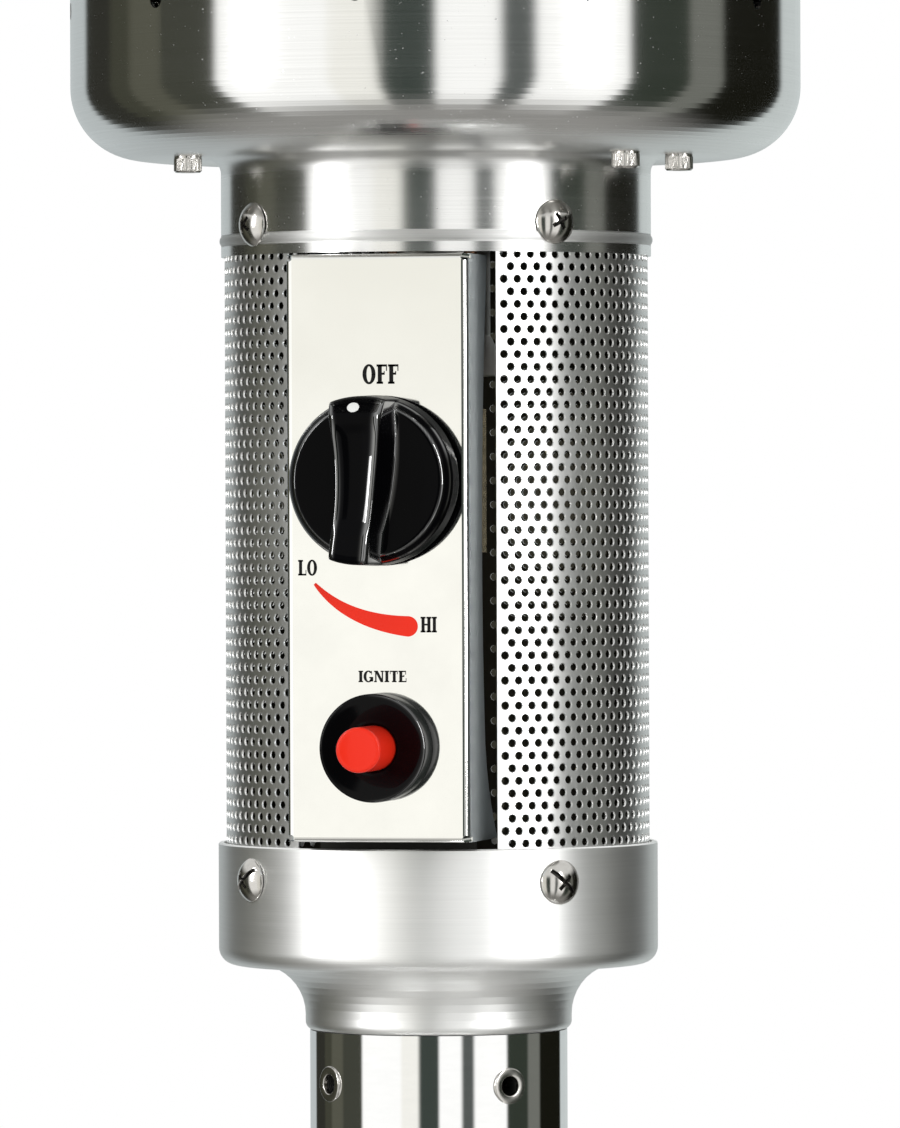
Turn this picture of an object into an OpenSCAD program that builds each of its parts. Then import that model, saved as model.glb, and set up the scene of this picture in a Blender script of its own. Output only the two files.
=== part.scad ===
// Gas infrared heater for a table or patio: a weighted base and post carry a control head
// with a perforated wrap, and above it the burner drum, the emitter screen and the reflector.
// Millimetres, +Z up, origin on the floor under the axis; the control panel faces -Y.

/* [Base] */
// Outer diameter of the spun base cover
base_d = 320; // [280:1:400]
// Height of the rubber feet
foot_h = 5; // [3:0.5:10]
// Diameter of a rubber foot
foot_d = 34; // [20:1:40]
// Distance of a foot's centre from the edge of the base
foot_inset = 36; // [30:1:60]
// Thickness of the steel weight plate
plate_t = 10; // [6:0.5:16]
// Sheet thickness of the base cover
cover_t = 1.2; // [0.8:0.1:2]
// Radius of the rounded edge of the base cover
cover_edge_r = 8; // [5:0.5:10]
// Height of the raised middle of the base cover above its outer flat
cover_rise = 20; // [17:0.5:40]
// Diameter of the four anchor holes
anchor_d = 9; // [6:0.5:11]
// Distance of an anchor hole's centre from the edge of the base
anchor_inset = 24; // [20:1:34]
// Width of the trim ring around the foot of the post
ring_w = 13; // [8:0.5:16]
// Height of the trim ring
ring_h = 9; // [6:0.5:14]

/* [Post] */
// Outer diameter of the post
post_d = 76.2; // [70:0.1:82]
// Wall of the post
post_wall = 1.5; // [1:0.1:2.5]
// Length of the post
post_l = 278; // [230:1:600]
// Length of the socket tube inside the foot of the post
socket_l = 60; // [50:1:70]
// Wall of the socket tube
socket_wall = 4; // [3:0.5:6]
// Thickness of the socket flange
socket_flange_t = 6; // [4:0.5:8]
// Height of the post's screws above the socket flange
post_screw_rise = 30; // [15:1:35]
// Diameter of the holes near the top of the post
post_hole_d = 8.5; // [7:0.1:10]
// Distance of those holes below the top of the post
post_hole_drop = 15; // [12:0.5:22]
// Bore of the threaded inserts in those holes
insert_bore_d = 5.8; // [4:0.1:6]
// Height of the gas inlet above the socket flange
inlet_rise = 89; // [80:1:140]

/* [Neck and cup] */
// Height of the flared neck above the post
neck_h = 19.5; // [19:0.5:30]
// Radius of the neck's flare under the cup
neck_flare_r = 15; // [12:0.5:16]
// How far the neck stands out past the post
neck_proud = 1.3; // [0.8:0.1:3]
// Length of the neck's spigot inside the post
spigot_l = 46; // [36:1:70]
// Wall of the spigot
spigot_wall = 3.5; // [2.5:0.1:5]
// Height of the lower cup
cup_h = 36; // [28:0.5:50]
// Wall of the lower cup
cup_wall = 1.6; // [1:0.1:2.4]
// Radius of the rounded bottom edge of the cup
cup_edge_r = 5; // [3:0.5:7]
// Distance of the cup's screws below its rim
cup_screw_drop = 9.9; // [8:0.1:14]

/* [Perforated wrap] */
// Outer diameter of the perforated wrap
wrap_d = 125.2; // [118:0.2:136]
// Sheet thickness of the wrap
wrap_t = 0.8; // [0.5:0.1:1.2]
// Angle of the wrap's opening behind the control panel
wrap_open_deg = 56.4; // [54:0.2:66]
// Depth of the wrap inside the collar
wrap_lap = 14; // [12:0.5:20]

/* [Collar] */
// Height of the collar between the wrap and the drum
collar_h = 29; // [25:0.5:40]
// Wall of the collar
collar_wall = 0.9; // [0.6:0.1:1.5]
// Radius of the collar's flare under the drum
collar_flare_r = 4.3; // [2:0.1:6]
// Height of the pressed bead round the collar
bead_h = 2.6; // [1.5:0.1:4]
// Height of the bead above the collar's lower edge
bead_rise = 3.4; // [1:0.1:3.6]
// How far the bead stands proud
bead_proud = 0.5; // [0.3:0.1:1]
// Distance of the collar's screws above its lower edge
collar_screw_rise = 8.7; // [8:0.1:10]

/* [Control panel] */
// Width of the control panel
panel_w = 53.5; // [48:0.5:54]
// How far the panel sits to the right of the knob's axis
panel_x = -0.6; // [-0.8:0.1:0.8]
// Height of the control panel
panel_h = 169.2; // [155:0.1:200]
// Sheet thickness of the panel
panel_t = 1.2; // [0.8:0.1:1.6]
// Outer radius of the panel's bends
panel_bend_r = 1.8; // [1.7:0.1:2.6]
// How far the panel's face stands out from the wrap
panel_proud = 16.4; // [15:0.1:20]
// Depth of the side flanges at the top of the panel
flange_d = 27.5; // [24:0.5:33]
// Depth of the side flanges at the middle of the panel
flange_mid_d = 19.5; // [15:0.5:24]
// How much deeper the flanges are at the foot of the panel
flange_ear_d = 12; // [4:0.5:13]
// Height over which the flanges widen towards the foot
flange_ear_h = 30; // [20:1:45]
// Depth of the top and bottom returns
return_d = 13; // [11:0.5:14]
// Gap between the panel and the cup's rim
panel_low_gap = 2.7; // [2:0.1:6]
// Gap between the panel and the collar
panel_top_gap = 1.1; // [1:0.1:6]
// Height of the knob's axis above the panel's lower edge
knob_rise = 104; // [95:0.1:120]
// Height of the igniter's axis above the panel's lower edge
igniter_rise = 27.3; // [24:0.1:40]
// Sheet thickness of the bracket behind the panel
bracket_t = 2; // [1.5:0.1:2.5]

/* [Knob and valve] */
// Diameter of the knob
knob_d = 49; // [40:0.5:50]
// Gap between the knob and the panel
knob_gap = 3.8; // [3.4:0.1:6]
// Height of the knob's round skirt
knob_skirt_h = 11.2; // [9:0.1:15]
// Height of the grip bar above the skirt
bar_h = 14; // [10:0.5:18]
// Width of the grip bar at its pointer end
bar_w = 16; // [13:0.1:18]
// Width of the grip bar at its tail
bar_tail_w = 11.5; // [10:0.1:12.5]
// How far the grip bar leans to the right of upright, in degrees
bar_lean = 2.6; // [0:0.1:5]
// Length of the slope at the bar's pointer end
slope_l = 6; // [5.6:0.1:7]
// Angle of that slope, in degrees
bar_slope = 40; // [30:1:45]
// Length of the finger scoop along the grip bar
scoop_l = 28; // [22:0.5:32]
// Depth of the finger scoop
scoop_depth = 3; // [1.5:0.1:4]
// Diameter of the white pointer dot
dot_d = 3.5; // [2.5:0.1:3.6]
// Distance of the pointer dot from the knob's edge
dot_inset = 3.7; // [3.4:0.1:3.9]
// Diameter of the valve stem
stem_d = 8; // [6:0.1:9]
// How far the knob pushes in
knob_travel = 3; // [2:0.1:3]
// Width of the valve body
valve_w = 38; // [34:0.5:40]
// Height of the valve body
valve_h = 42; // [40:0.5:46]

/* [Igniter] */
// Diameter of the igniter's bezel
bezel_d = 31.2; // [29:0.1:34]
// Height of the bezel
bezel_h = 10.2; // [9:0.1:13]
// How far the bezel's face is dished
bezel_dish = 1.1; // [0.5:0.1:1.5]
// Diameter of the push button
button_d = 13; // [11:0.1:14]
// How far the button stands out of the bezel
button_out = 18.6; // [14:0.1:22]
// Travel of the button
button_travel = 8; // [4:0.1:9]
// Diameter of the igniter's body
igniter_d = 22; // [20:0.1:23]

/* [Drum and burner] */
// Diameter of the burner drum
drum_d = 216; // [206:1:240]
// Height of the drum
drum_h = 90; // [80:1:120]
// Wall of the drum
drum_wall = 1.2; // [0.8:0.1:2]
// Radius of the drum's rounded bottom edge
drum_edge_r = 21; // [14:0.5:23]
// Diameter of the vent holes
vent_d = 5; // [3:0.1:8]
// Height of the vent holes above the drum's bottom
vent_rise = 43.5; // [36:0.5:60]
// Number of vent holes
vent_count = 10; // [6:1:16]
// Thickness of the stiffening ring in the drum
drum_ring_t = 4; // [3:0.5:6]
// Sheet thickness of the drum's lid
lid_t = 1.5; // [1:0.1:2.5]
// Depth of the lid's skirt inside the drum
lid_skirt_h = 14; // [12:0.5:20]
// Diameter of the burner head
head_d = 88; // [70:1:92]
// Height of the burner head
head_h = 36; // [30:1:60]
// Wall of the burner head
head_wall = 1.5; // [1:0.1:2.5]
// Diameter of the mixer tube
mixer_d = 32; // [26:0.5:36]
// Wall of the mixer tube
mixer_wall = 1.5; // [1:0.1:2.5]

/* [Emitter and reflector] */
// Diameter of the emitter screen
screen_d = 180; // [178:1:196]
// Height of the emitter screen
screen_h = 150; // [120:1:220]
// Sheet thickness of the emitter screen
screen_t = 1; // [0.8:0.1:1.5]
// Depth of the cap's rim over the screen
cap_rim_h = 9; // [6:0.5:14]
// Diameter of the reflector
reflector_d = 480; // [400:1:560]
// Drop from the reflector's middle to its rim
reflector_drop = 46; // [30:1:56]
// Sheet thickness of the reflector
reflector_t = 1.2; // [0.8:0.1:2]
// Height of the reflector above the emitter cap
reflector_gap = 62; // [60:1:80]
// Diameter of the tie rods
rod_d = 6; // [5:0.1:6]

/* [Fits] */
// Sliding clearance between pieces that plug together
fit_gap = 0.15; // [0.1:0.05:0.3]
// Running clearance of the stem and of the button
run_gap = 0.06; // [0.04:0.01:0.09]
// Clearance of a screw in its hole
screw_gap = 0.2; // [0.1:0.05:0.4]

/* [Hidden] */

$fn = 96;
cut = 0.5;
arc_steps = 10;

// Angles of repeated pieces, from the panel's normal towards +X
quarter_angles = [45, 135, 225, 315];
square_angles = [0, 90, 180, 270];
third_angles = [60, 180, 300];
drum_screw_angles = [57.5, 79, 180, 302.5];

// Base: heights from the floor and radii from the axis
base_r = base_d / 2;
plate_r = base_r - cover_edge_r;
plate_top = foot_h + plate_t;
cover_top = plate_top + cover_t;
cover_peak = cover_top + cover_rise;
skirt_low = foot_h + 1.5;
foot_circle_r = base_r - foot_inset;
foot_peg_d = 9;
foot_peg_l = 7;
anchor_circle_r = base_r - anchor_inset;

// Post and its socket
post_r = post_d / 2;
post_in_r = post_r - post_wall;
post_low = plate_top + socket_flange_t;
post_top = post_low + post_l;
socket_r = post_in_r - fit_gap;
socket_bolt_d = 8;
socket_bolt_af = 13;
socket_bolt_head_h = 5.3;
socket_bolt_r = post_r + socket_bolt_af / 2 + 2;
socket_flange_r = socket_bolt_r + socket_bolt_af / 2 + 2;
post_screw_d = 6;
post_screw_head_d = 10.5;
post_screw_z = post_low + post_screw_rise;
post_hole_z = post_top - post_hole_drop;
insert_l = post_wall + fit_gap + spigot_wall;
ramp_out_r = anchor_circle_r - anchor_d / 2 - 12;
ramp_in_r = post_r + ring_w + 6;
ramp_steps = 16;

// Gas inlet: brass fitting through the back of the post
inlet_z = post_low + inlet_rise;
inlet_r = 8.4;
inlet_hole_r = inlet_r + fit_gap;
inlet_thread_d = 13.4;
inlet_thread_l = 16;
inlet_hex_af = 22;
inlet_hex_h = 7;
saddle_r = 15;
saddle_t = 5;
locknut_af = 24;
locknut_h = 5;
elbow_h = 22;
elbow_socket_l = 12;
tube_d = 10;
tube_wall = 1;
gas_bore_d = 6;

// Neck and cup
neck_r = post_r + neck_proud;
neck_lip_r = 2.5;
neck_bore_r = post_in_r - fit_gap - spigot_wall;
spigot_r = post_in_r - fit_gap;
cup_low = post_top + neck_h;
cup_floor_t = 1.8;
cup_floor = cup_low + cup_floor_t;
cup_rim = cup_low + cup_h;
cup_gap = 0.8;
wrap_r = wrap_d / 2;
wrap_in_r = wrap_r - wrap_t;
cup_in_r = wrap_r + cup_gap;
cup_r = cup_in_r + cup_wall;
cup_screw_z = cup_rim - cup_screw_drop;
adapter_screw_d = 4;
adapter_screw_r = neck_bore_r + 5;
adapter_screw_l = 4.4;
inner_head_d = 9;
inner_head_h = 2.8;

// Truss-head screws of the cup and the collar, with their nuts inside the wrap
truss_d = 6;
truss_head_d = 12.9;
truss_head_h = 3.4;
truss_nut_af = 10;
truss_nut_h = 5;
truss_nut_seat = sqrt(pow(wrap_in_r, 2) - pow(truss_nut_af * 0.58, 2)) - 0.2;
truss_end = truss_nut_seat - truss_nut_h - 1;

// Heights of the panel, the collar and the drum
panel_low = cup_rim + panel_low_gap;
panel_high = panel_low + panel_h;
collar_low = panel_high + panel_top_gap;
collar_r = wrap_r + 0.1 + collar_wall;
collar_in_r = collar_r - collar_wall;
collar_screw_z = collar_low + collar_screw_rise;
drum_low = collar_low + collar_h;
collar_flange_t = 1.6;
collar_flange_r = collar_in_r - 12.7;
flange_screw_d = 5;
flange_screw_r = collar_flange_r + 6;

// Drum, lid and burner
drum_r = drum_d / 2;
drum_in_r = drum_r - drum_wall;
drum_floor = drum_low + drum_wall;
drum_flat_r = drum_r - drum_edge_r;
drum_screw_r = (collar_r + collar_flare_r + drum_flat_r) / 2;
drum_screw_d = 5;
drum_ring_in_r = collar_flange_r + 1.5;
drum_high = drum_low + drum_h;
lid_top = drum_high + lid_t;
lid_hole_r = head_d / 2 + 4;
lid_lip = 1.2;
lid_screw_d = 4;
lid_screw_z = drum_high - lid_skirt_h / 2;
lid_skirt_r = drum_in_r - fit_gap;
head_r = head_d / 2;
head_flange_r = head_r + 10;
head_port_d = 5;
head_port_count = 24;
mixer_r = mixer_d / 2;
bell_r = mixer_r + 6;
bell_h = 12;

// Emitter, tie rods and reflector
screen_r = screen_d / 2;
screen_in_r = screen_r - screen_t;
screen_top = lid_top + screen_h;
ring_step_h = 5;
cap_t = 1.2;
cap_top = screen_top + cap_t;
rod_r = screen_in_r - 15;
rod_nut_af = 10;
rod_nut_h = 5;
rod_low = drum_high - rod_nut_h - 3;
spacer_d = 11;
reflector_r = reflector_d / 2;
reflector_low = cap_top + reflector_gap;
reflector_top = reflector_low + reflector_t;
reflector_flat_r = rod_r + 16;
reflector_lip_h = 7;
reflector_bend_r = 40;
washer_d = 18;
washer_t = 1.6;
wing_hub_d = 11;
wing_h = 9;
wing_span = 28;
wing_t = 2.2;
rod_high = reflector_top + washer_t + wing_h;

// Control panel, bracket and valve: depths are measured from the axis towards -Y
panel_face = wrap_r + panel_proud;
panel_back = panel_face - panel_t;
knob_z = panel_low + knob_rise;
igniter_z = panel_low + igniter_rise;
bracket_w = panel_w - 2 * panel_t - 5;
bracket_face = sqrt(pow(wrap_in_r, 2) - pow(bracket_w / 2, 2)) - 2.2;
bracket_back = bracket_face - bracket_t;
foot_depth = 20;
pan_d = 4;
pan_head_d = 7.6;
pan_head_h = 2.6;
pan_x = 14;
sunk_h = panel_t - 0.1;
sunk_head_d = pan_d + 2 * sunk_h;
flange_steps = 24;
panel_screw_y = panel_back - return_d / 2;
foot_screw_y = bracket_back - foot_depth / 2;
valve_screw_x = valve_w / 2 - 4.5;
valve_screw_up = valve_h / 2 - 5;
stem_r = stem_d / 2;
stem_hole_d = stem_d + 6;
valve_boss_r = stem_r + 8;
valve_boss_l = 5;
valve_port_r = 9;
valve_port_l = 9;
valve_block_back = bracket_back - 34;
valve_arm_w = 24;
stem_end = bracket_back - 18;
stem_front = panel_face + knob_gap + 12;
stem_flat = 1.2;
seat_r = stem_r + 4.5;
seat_t = 1.6;
seat_back = panel_back - seat_t - 4;
boss_front = bracket_face + valve_boss_l;

// Igniter depths
igniter_r = igniter_d / 2;
bezel_front = panel_face + bezel_h;
button_r = button_d / 2;
button_front = bezel_front + button_out;
button_back = panel_back - 4;
igniter_back = button_back - button_travel - 26;
igniter_floor_t = 4;
igniter_nut_t = 4;
igniter_nut_af = 28;
bezel_wall = 2;
bezel_edge_r = 0.9;
dot_t = 0.8;
relief_d = 2.2;
relief_in = 0.9;
relief_l = 6;

// Springs: wire diameter and turns
stem_wire_d = 0.9;
stem_turns = 5;
button_wire_d = 0.8;
button_turns = 9;

// Leads inside the head: route points chosen by hand, and the diameters of the tubes
lead_d = 3.6;
pilot_tube_d = 4;
thermocouple_d = 3;
lead_y = -(head_flange_r + screen_in_r) / 2 - 4;
valve_top = knob_z + valve_h / 2;
pilot_x = 9;
lead_slot_w = 2 * pilot_x + 8;
lead_slot_d = 8;
pilot_plate_t = 1.5;
pilot_plate_w = 2 * pan_x + 12;
pilot_plate_d = 19;
pilot_screw_y = lead_y + 8;
pilot_hole_d = 3.8;
pilot_peg_d = 3.4;
pilot_h = 20;
pilot_d = 7;
electrode_d = 6.4;
electrode_h = 15;
electrode_tip_d = 1.6;
electrode_tip_h = 27;
igniter_route = [
    [0, -igniter_back, igniter_z], [0, -igniter_back + 6, igniter_z], [-10, -20, igniter_z + 8],
    [-26, -18, igniter_z + 30], [-31, -20, knob_z], [-30, -28, collar_low], [-22, -36, drum_low],
    [-14, -58, drum_low + 45], [-pilot_x, lead_y, drum_high - 18], [-pilot_x, lead_y, lid_top - 4],
    [-pilot_x, lead_y, lid_top]
];
pilot_route = [
    [12, -36, valve_top], [12, -36, valve_top + 12], [18, -36, collar_low], [18, -36, drum_low],
    [13, -58, drum_low + 45], [pilot_x, lead_y, drum_high - 18], [pilot_x, lead_y, lid_top - 4],
    [pilot_x, lead_y, lid_top]
];
thermocouple_route = [
    [-8, -38, valve_top], [-8, -38, valve_top + 12], [-4, -42, collar_low], [-2, -40, drum_low],
    [0, -58, drum_low + 45], [0, lead_y, drum_high - 18], [0, lead_y, lid_top - 4],
    [0, lead_y, lid_top + 12], [0, lead_y, lid_top + 28]
];
route_steps = 3;
tube_sides = 8;

// Points of an arc about [x, y], from angle a to angle b
function arc(x, y, r, a, b, n = arc_steps) =
    [for (i = [0:n]) [x + r * cos(a + (b - a) * i / n), y + r * sin(a + (b - a) * i / n)]];

// A smooth S between 0 and 1
function ease(t) = t * t * (3 - 2 * t);

// A point on the smooth curve through p[i] and p[i + 1]
function curve_point(p, i, t) =
    let (n = len(p) - 1, a = p[max(i - 1, 0)], b = p[i], c = p[i + 1], d = p[min(i + 2, n)])
    0.5 * (2 * b + (c - a) * t + (2 * a - 5 * b + 4 * c - d) * t * t + (3 * b - a - 3 * c + d) * t * t * t);

// A route with more points on its smooth curve
function smooth_route(p, n) = concat(
    [for (i = [0:len(p) - 2], j = [0:n - 1]) curve_point(p, i, j / n)],
    [p[len(p) - 1]]);

// Direction of a route at its point i
function heading(p, i) =
    let (d = p[min(i + 1, len(p) - 1)] - p[max(i - 1, 0)])
    d / norm(d);

// Centre line of a coil along +Z, from z = 0 to z = l
function coil(r, l, turns, per_turn) =
    [for (i = [0:turns * per_turn])
        [r * cos(360 * i / per_turn), r * sin(360 * i / per_turn), l * i / (turns * per_turn)]];

// Least gap between the turns of a coil, measured on its points
function least_gap(p, wire_d, per_turn) =
    min([for (i = [0:len(p) - 1 - per_turn / 2], j = [i + per_turn / 2:len(p) - 1]) norm(p[i] - p[j])])
    - wire_d;

// A round tube swept along points, closed with flat ends
module sweep(p, d, sides) {
    last = len(p) - 1;
    rings = [for (i = [0:last])
        let (t = heading(p, i), u = cross(t, [1, 0.02, 0.03]), a = u / norm(u), b = cross(t, a))
        [for (k = [0:sides - 1]) p[i] + d / 2 * (cos(360 * k / sides) * a + sin(360 * k / sides) * b)]];
    points = concat([for (ring = rings) each ring], [p[0], p[last]]);
    low = len(points) - 2;
    faces = concat(
        [for (i = [0:last - 1], k = [0:sides - 1])
            [i * sides + k, (i + 1) * sides + k, (i + 1) * sides + (k + 1) % sides]],
        [for (i = [0:last - 1], k = [0:sides - 1])
            [i * sides + k, (i + 1) * sides + (k + 1) % sides, i * sides + (k + 1) % sides]],
        [for (k = [0:sides - 1]) [low, k, (k + 1) % sides]],
        [for (k = [0:sides - 1]) [low + 1, last * sides + (k + 1) % sides, last * sides + k]]);
    polyhedron(points, faces);
}

module revolve(points) {
    rotate_extrude() polygon(points);
}

// A hole's cutter through a sheet of thickness t that starts at z = 0
module drill(d, t) {
    translate([0, 0, -cut]) cylinder(d = d, h = t + 2 * cut);
}

module pipe(r, in_r, h) {
    difference() {
        cylinder(r = r, h = h);
        translate([0, 0, -cut]) cylinder(r = in_r, h = h + 2 * cut);
    }
}

// Copies at each angle, on a circle, standing upright
module upright(angles, r, z) {
    for (a = angles) rotate(a) translate([0, -r, z]) children();
}

// Copies at each angle whose +Z points outwards from the axis
module radial(angles, r, z) {
    upright(angles, r, z) rotate([90, 0, 0]) children();
}

// Stands a piece on a plane at this depth, facing the front, with its origin at height z
module facing(depth, z, x = 0) {
    translate([x, -depth, z]) rotate([90, 0, 0]) children();
}

// Cap of a ball, d across and h high
module dome(d, h) {
    ball_r = (d * d / 4 + h * h) / (2 * h);
    intersection() {
        translate([0, 0, h - ball_r]) sphere(r = ball_r);
        cylinder(d = d, h = h);
    }
}

// Domed screw with a cross recess, its head's seat at z = 0
module cross_screw(d, l, head_d, head_h) {
    slot_w = head_d * 0.13;
    slot_l = head_d * 0.44;
    difference() {
        union() {
            dome(head_d, head_h);
            translate([0, 0, -l]) cylinder(d = d, h = l + cut);
        }
        for (a = [0, 90]) rotate(a + 20) translate([-slot_l / 2, -slot_w / 2, head_h * 0.55])
            cube([slot_l, slot_w, head_h]);
    }
}

// Socket-head screw, its head's seat at z = 0
module socket_screw(d, l) {
    head_d = d * 1.7;
    difference() {
        union() {
            cylinder(d = head_d, h = d);
            translate([0, 0, -l]) cylinder(d = d, h = l + cut);
        }
        translate([0, 0, d * 0.45]) cylinder(d = d * 0.92, h = d, $fn = 6);
    }
}

module hex_nut(af, h, d) {
    difference() {
        cylinder(d = af / cos(30), h = h, $fn = 6);
        translate([0, 0, -cut]) cylinder(d = d, h = h + 2 * cut);
    }
}

module truss_holes(z) {
    radial(quarter_angles, 0, z) cylinder(d = truss_d + 2 * screw_gap, h = cup_r + 5);
}

module truss_screws(seat_r, z) {
    radial(quarter_angles, seat_r, z)
        cross_screw(truss_d, seat_r - truss_end, truss_head_d, truss_head_h);
}

// Base

module rubber_feet() {
    color("dimgray") upright(quarter_angles, foot_circle_r, 0) union() {
        cylinder(d1 = foot_d - 3, d2 = foot_d, h = foot_h);
        cylinder(d = foot_peg_d, h = foot_h + foot_peg_l);
    }
}

module base_plate() {
    color("gray") difference() {
        translate([0, 0, foot_h]) cylinder(r = plate_r, h = plate_t);
        upright(quarter_angles, foot_circle_r, 0)
            cylinder(d = foot_peg_d + 2 * fit_gap, h = foot_h + foot_peg_l + 1);
        upright(square_angles, anchor_circle_r, foot_h) drill(anchor_d, plate_t);
        upright(quarter_angles, socket_bolt_r, foot_h) drill(socket_bolt_d + 2 * fit_gap, plate_t);
    }
}

// Outer line of the base cover from its middle hole to its skirt; shift moves it inwards by the sheet
function cover_line(shift) = concat(
    [[post_r + fit_gap, cover_peak - shift]],
    [for (i = [0:ramp_steps])
        [ramp_in_r + (ramp_out_r - ramp_in_r) * i / ramp_steps,
            cover_peak - shift - cover_rise * ease(i / ramp_steps)]],
    arc(base_r - cover_edge_r, cover_top - cover_edge_r, cover_edge_r - shift, 90, 0),
    [[base_r - shift, skirt_low]]);

module base_cover() {
    outer = cover_line(0);
    inner = cover_line(cover_t);
    color("silver") difference() {
        revolve(concat(outer, [for (i = [len(inner) - 1:-1:0]) inner[i]]));
        upright(square_angles, anchor_circle_r, plate_top) drill(anchor_d, cover_t);
    }
}

module post_ring() {
    color("silver") translate([0, 0, cover_peak]) revolve(concat(
        [[post_r + fit_gap, 0], [post_r + ring_w, 0], [post_r + ring_w, 1.5]],
        arc(post_r + ring_w, ring_h, ring_h - 1.5, 270, 190),
        [[post_r + fit_gap + 1.5, ring_h], [post_r + fit_gap, ring_h - 1]]));
}

module post_socket() {
    color("gray") difference() {
        union() {
            translate([0, 0, plate_top]) cylinder(r = socket_flange_r, h = socket_flange_t);
            translate([0, 0, plate_top]) cylinder(r = socket_r, h = socket_flange_t + socket_l);
        }
        translate([0, 0, plate_top - cut])
            cylinder(r = socket_r - socket_wall, h = socket_flange_t + socket_l + 2 * cut);
        upright(quarter_angles, socket_bolt_r, plate_top)
            drill(socket_bolt_d + 2 * screw_gap, socket_flange_t);
        radial(quarter_angles, 0, post_screw_z) cylinder(d = post_screw_d + 2 * fit_gap, h = post_r);
    }
}

module socket_bolts() {
    shank_l = socket_flange_t + plate_t;
    color("gainsboro") upright(quarter_angles, socket_bolt_r, post_low) union() {
        cylinder(d = socket_bolt_af / cos(30), h = socket_bolt_head_h, $fn = 6);
        translate([0, 0, 1 - shank_l]) cylinder(d = socket_bolt_d, h = shank_l);
    }
}

// Post and gas inlet

module post() {
    color("silver") difference() {
        translate([0, 0, post_low]) pipe(post_r, post_in_r, post_l);
        radial(quarter_angles, 0, post_hole_z) cylinder(d = post_hole_d, h = post_r + cut);
        radial(quarter_angles, 0, post_screw_z) cylinder(d = post_screw_d + 2 * screw_gap, h = post_r + cut);
        radial([180], 0, inlet_z) cylinder(r = inlet_hole_r, h = post_r + cut);
    }
}

module post_screws() {
    color("gainsboro") radial(quarter_angles, post_r, post_screw_z)
        cross_screw(post_screw_d, post_wall + fit_gap + socket_wall + 1, post_screw_head_d, 3);
}

module post_inserts() {
    color("lightgray") radial(quarter_angles, post_r - insert_l, post_hole_z)
        pipe(post_hole_d / 2 - fit_gap, insert_bore_d / 2, insert_l - 0.3);
}

// Brass fitting: outside thread and hex, a barrel through the post, and an elbow up to the tube
module gas_inlet() {
    hex_front = post_r + saddle_t;
    thread_end = hex_front + inlet_hex_h + inlet_thread_l;
    color("goldenrod") difference() {
        union() {
            radial([180], 0, inlet_z) cylinder(r = inlet_r, h = hex_front + cut);
            radial([180], hex_front, inlet_z) cylinder(d = inlet_hex_af / cos(30), h = inlet_hex_h, $fn = 6);
            radial([180], hex_front, inlet_z) cylinder(d = inlet_thread_d, h = thread_end - hex_front);
            translate([0, 0, inlet_z]) cylinder(r = inlet_r, h = elbow_h);
            translate([0, 0, inlet_z]) sphere(r = inlet_r);
        }
        radial([180], 0, inlet_z) cylinder(d = gas_bore_d, h = thread_end + cut);
        translate([0, 0, inlet_z]) cylinder(d = gas_bore_d, h = elbow_h);
        translate([0, 0, inlet_z + elbow_h - elbow_socket_l])
            cylinder(d = tube_d + 2 * fit_gap, h = elbow_socket_l + cut);
    }
}

module inlet_saddle() {
    color("dimgray") difference() {
        radial([180], post_r - 4, inlet_z) pipe(saddle_r, inlet_hole_r, saddle_t + 4);
        translate([0, 0, inlet_z - 2 * saddle_r]) cylinder(r = post_r, h = 4 * saddle_r);
    }
}

module inlet_locknut() {
    seat = sqrt(pow(post_in_r, 2) - pow(locknut_af * 0.58, 2)) - 0.2;
    color("goldenrod") radial([180], seat - locknut_h, inlet_z)
        hex_nut(locknut_af, locknut_h, 2 * inlet_hole_r);
}

module supply_tube() {
    low = inlet_z + elbow_h - elbow_socket_l;
    high = knob_z - valve_arm_w / 2 - valve_port_l + 6;
    color("peru") translate([0, 0, low]) pipe(tube_d / 2, tube_d / 2 - tube_wall, high - low);
}

// Neck, cup and wrap

module post_adapter() {
    flare_z = cup_low - neck_flare_r;
    color("silver") difference() {
        revolve(concat(
            [[neck_bore_r, post_top - spigot_l], [spigot_r, post_top - spigot_l], [spigot_r, post_top]],
            arc(neck_r - neck_lip_r, post_top + neck_lip_r, neck_lip_r, 290, 360),
            arc(neck_r + neck_flare_r, flare_z, neck_flare_r, 180, 90),
            [[neck_bore_r, cup_low]]));
        radial(quarter_angles, 0, post_hole_z) cylinder(d = post_hole_d, h = post_r);
        upright(quarter_angles, adapter_screw_r, cup_low - adapter_screw_l)
            cylinder(d = adapter_screw_d + 2 * fit_gap, h = adapter_screw_l + cut);
    }
}

module adapter_screws() {
    color("gainsboro") upright(quarter_angles, adapter_screw_r, cup_floor)
        cross_screw(adapter_screw_d, cup_floor_t + adapter_screw_l - 0.3, inner_head_d, inner_head_h);
}

module lower_cup() {
    color("silver") difference() {
        revolve(concat(
            [[neck_bore_r, cup_low]],
            arc(cup_r - cup_edge_r, cup_low + cup_edge_r, cup_edge_r, 270, 360),
            [[cup_r, cup_rim - 0.4], [cup_r - 0.4, cup_rim], [cup_in_r, cup_rim]],
            arc(cup_in_r - 3, cup_floor + 3, 3, 360, 270),
            [[neck_bore_r, cup_floor]]));
        truss_holes(cup_screw_z);
        upright(quarter_angles, adapter_screw_r, cup_low) drill(adapter_screw_d + 2 * screw_gap, cup_floor_t);
        for (x = [-pan_x, pan_x]) translate([x, -foot_screw_y, cup_low])
            drill(pan_d + 2 * screw_gap, cup_floor_t);
    }
}

module cup_screws() {
    color("gainsboro") truss_screws(cup_r, cup_screw_z);
}

module collar_screws() {
    color("gainsboro") truss_screws(collar_r, collar_screw_z);
}

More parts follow.
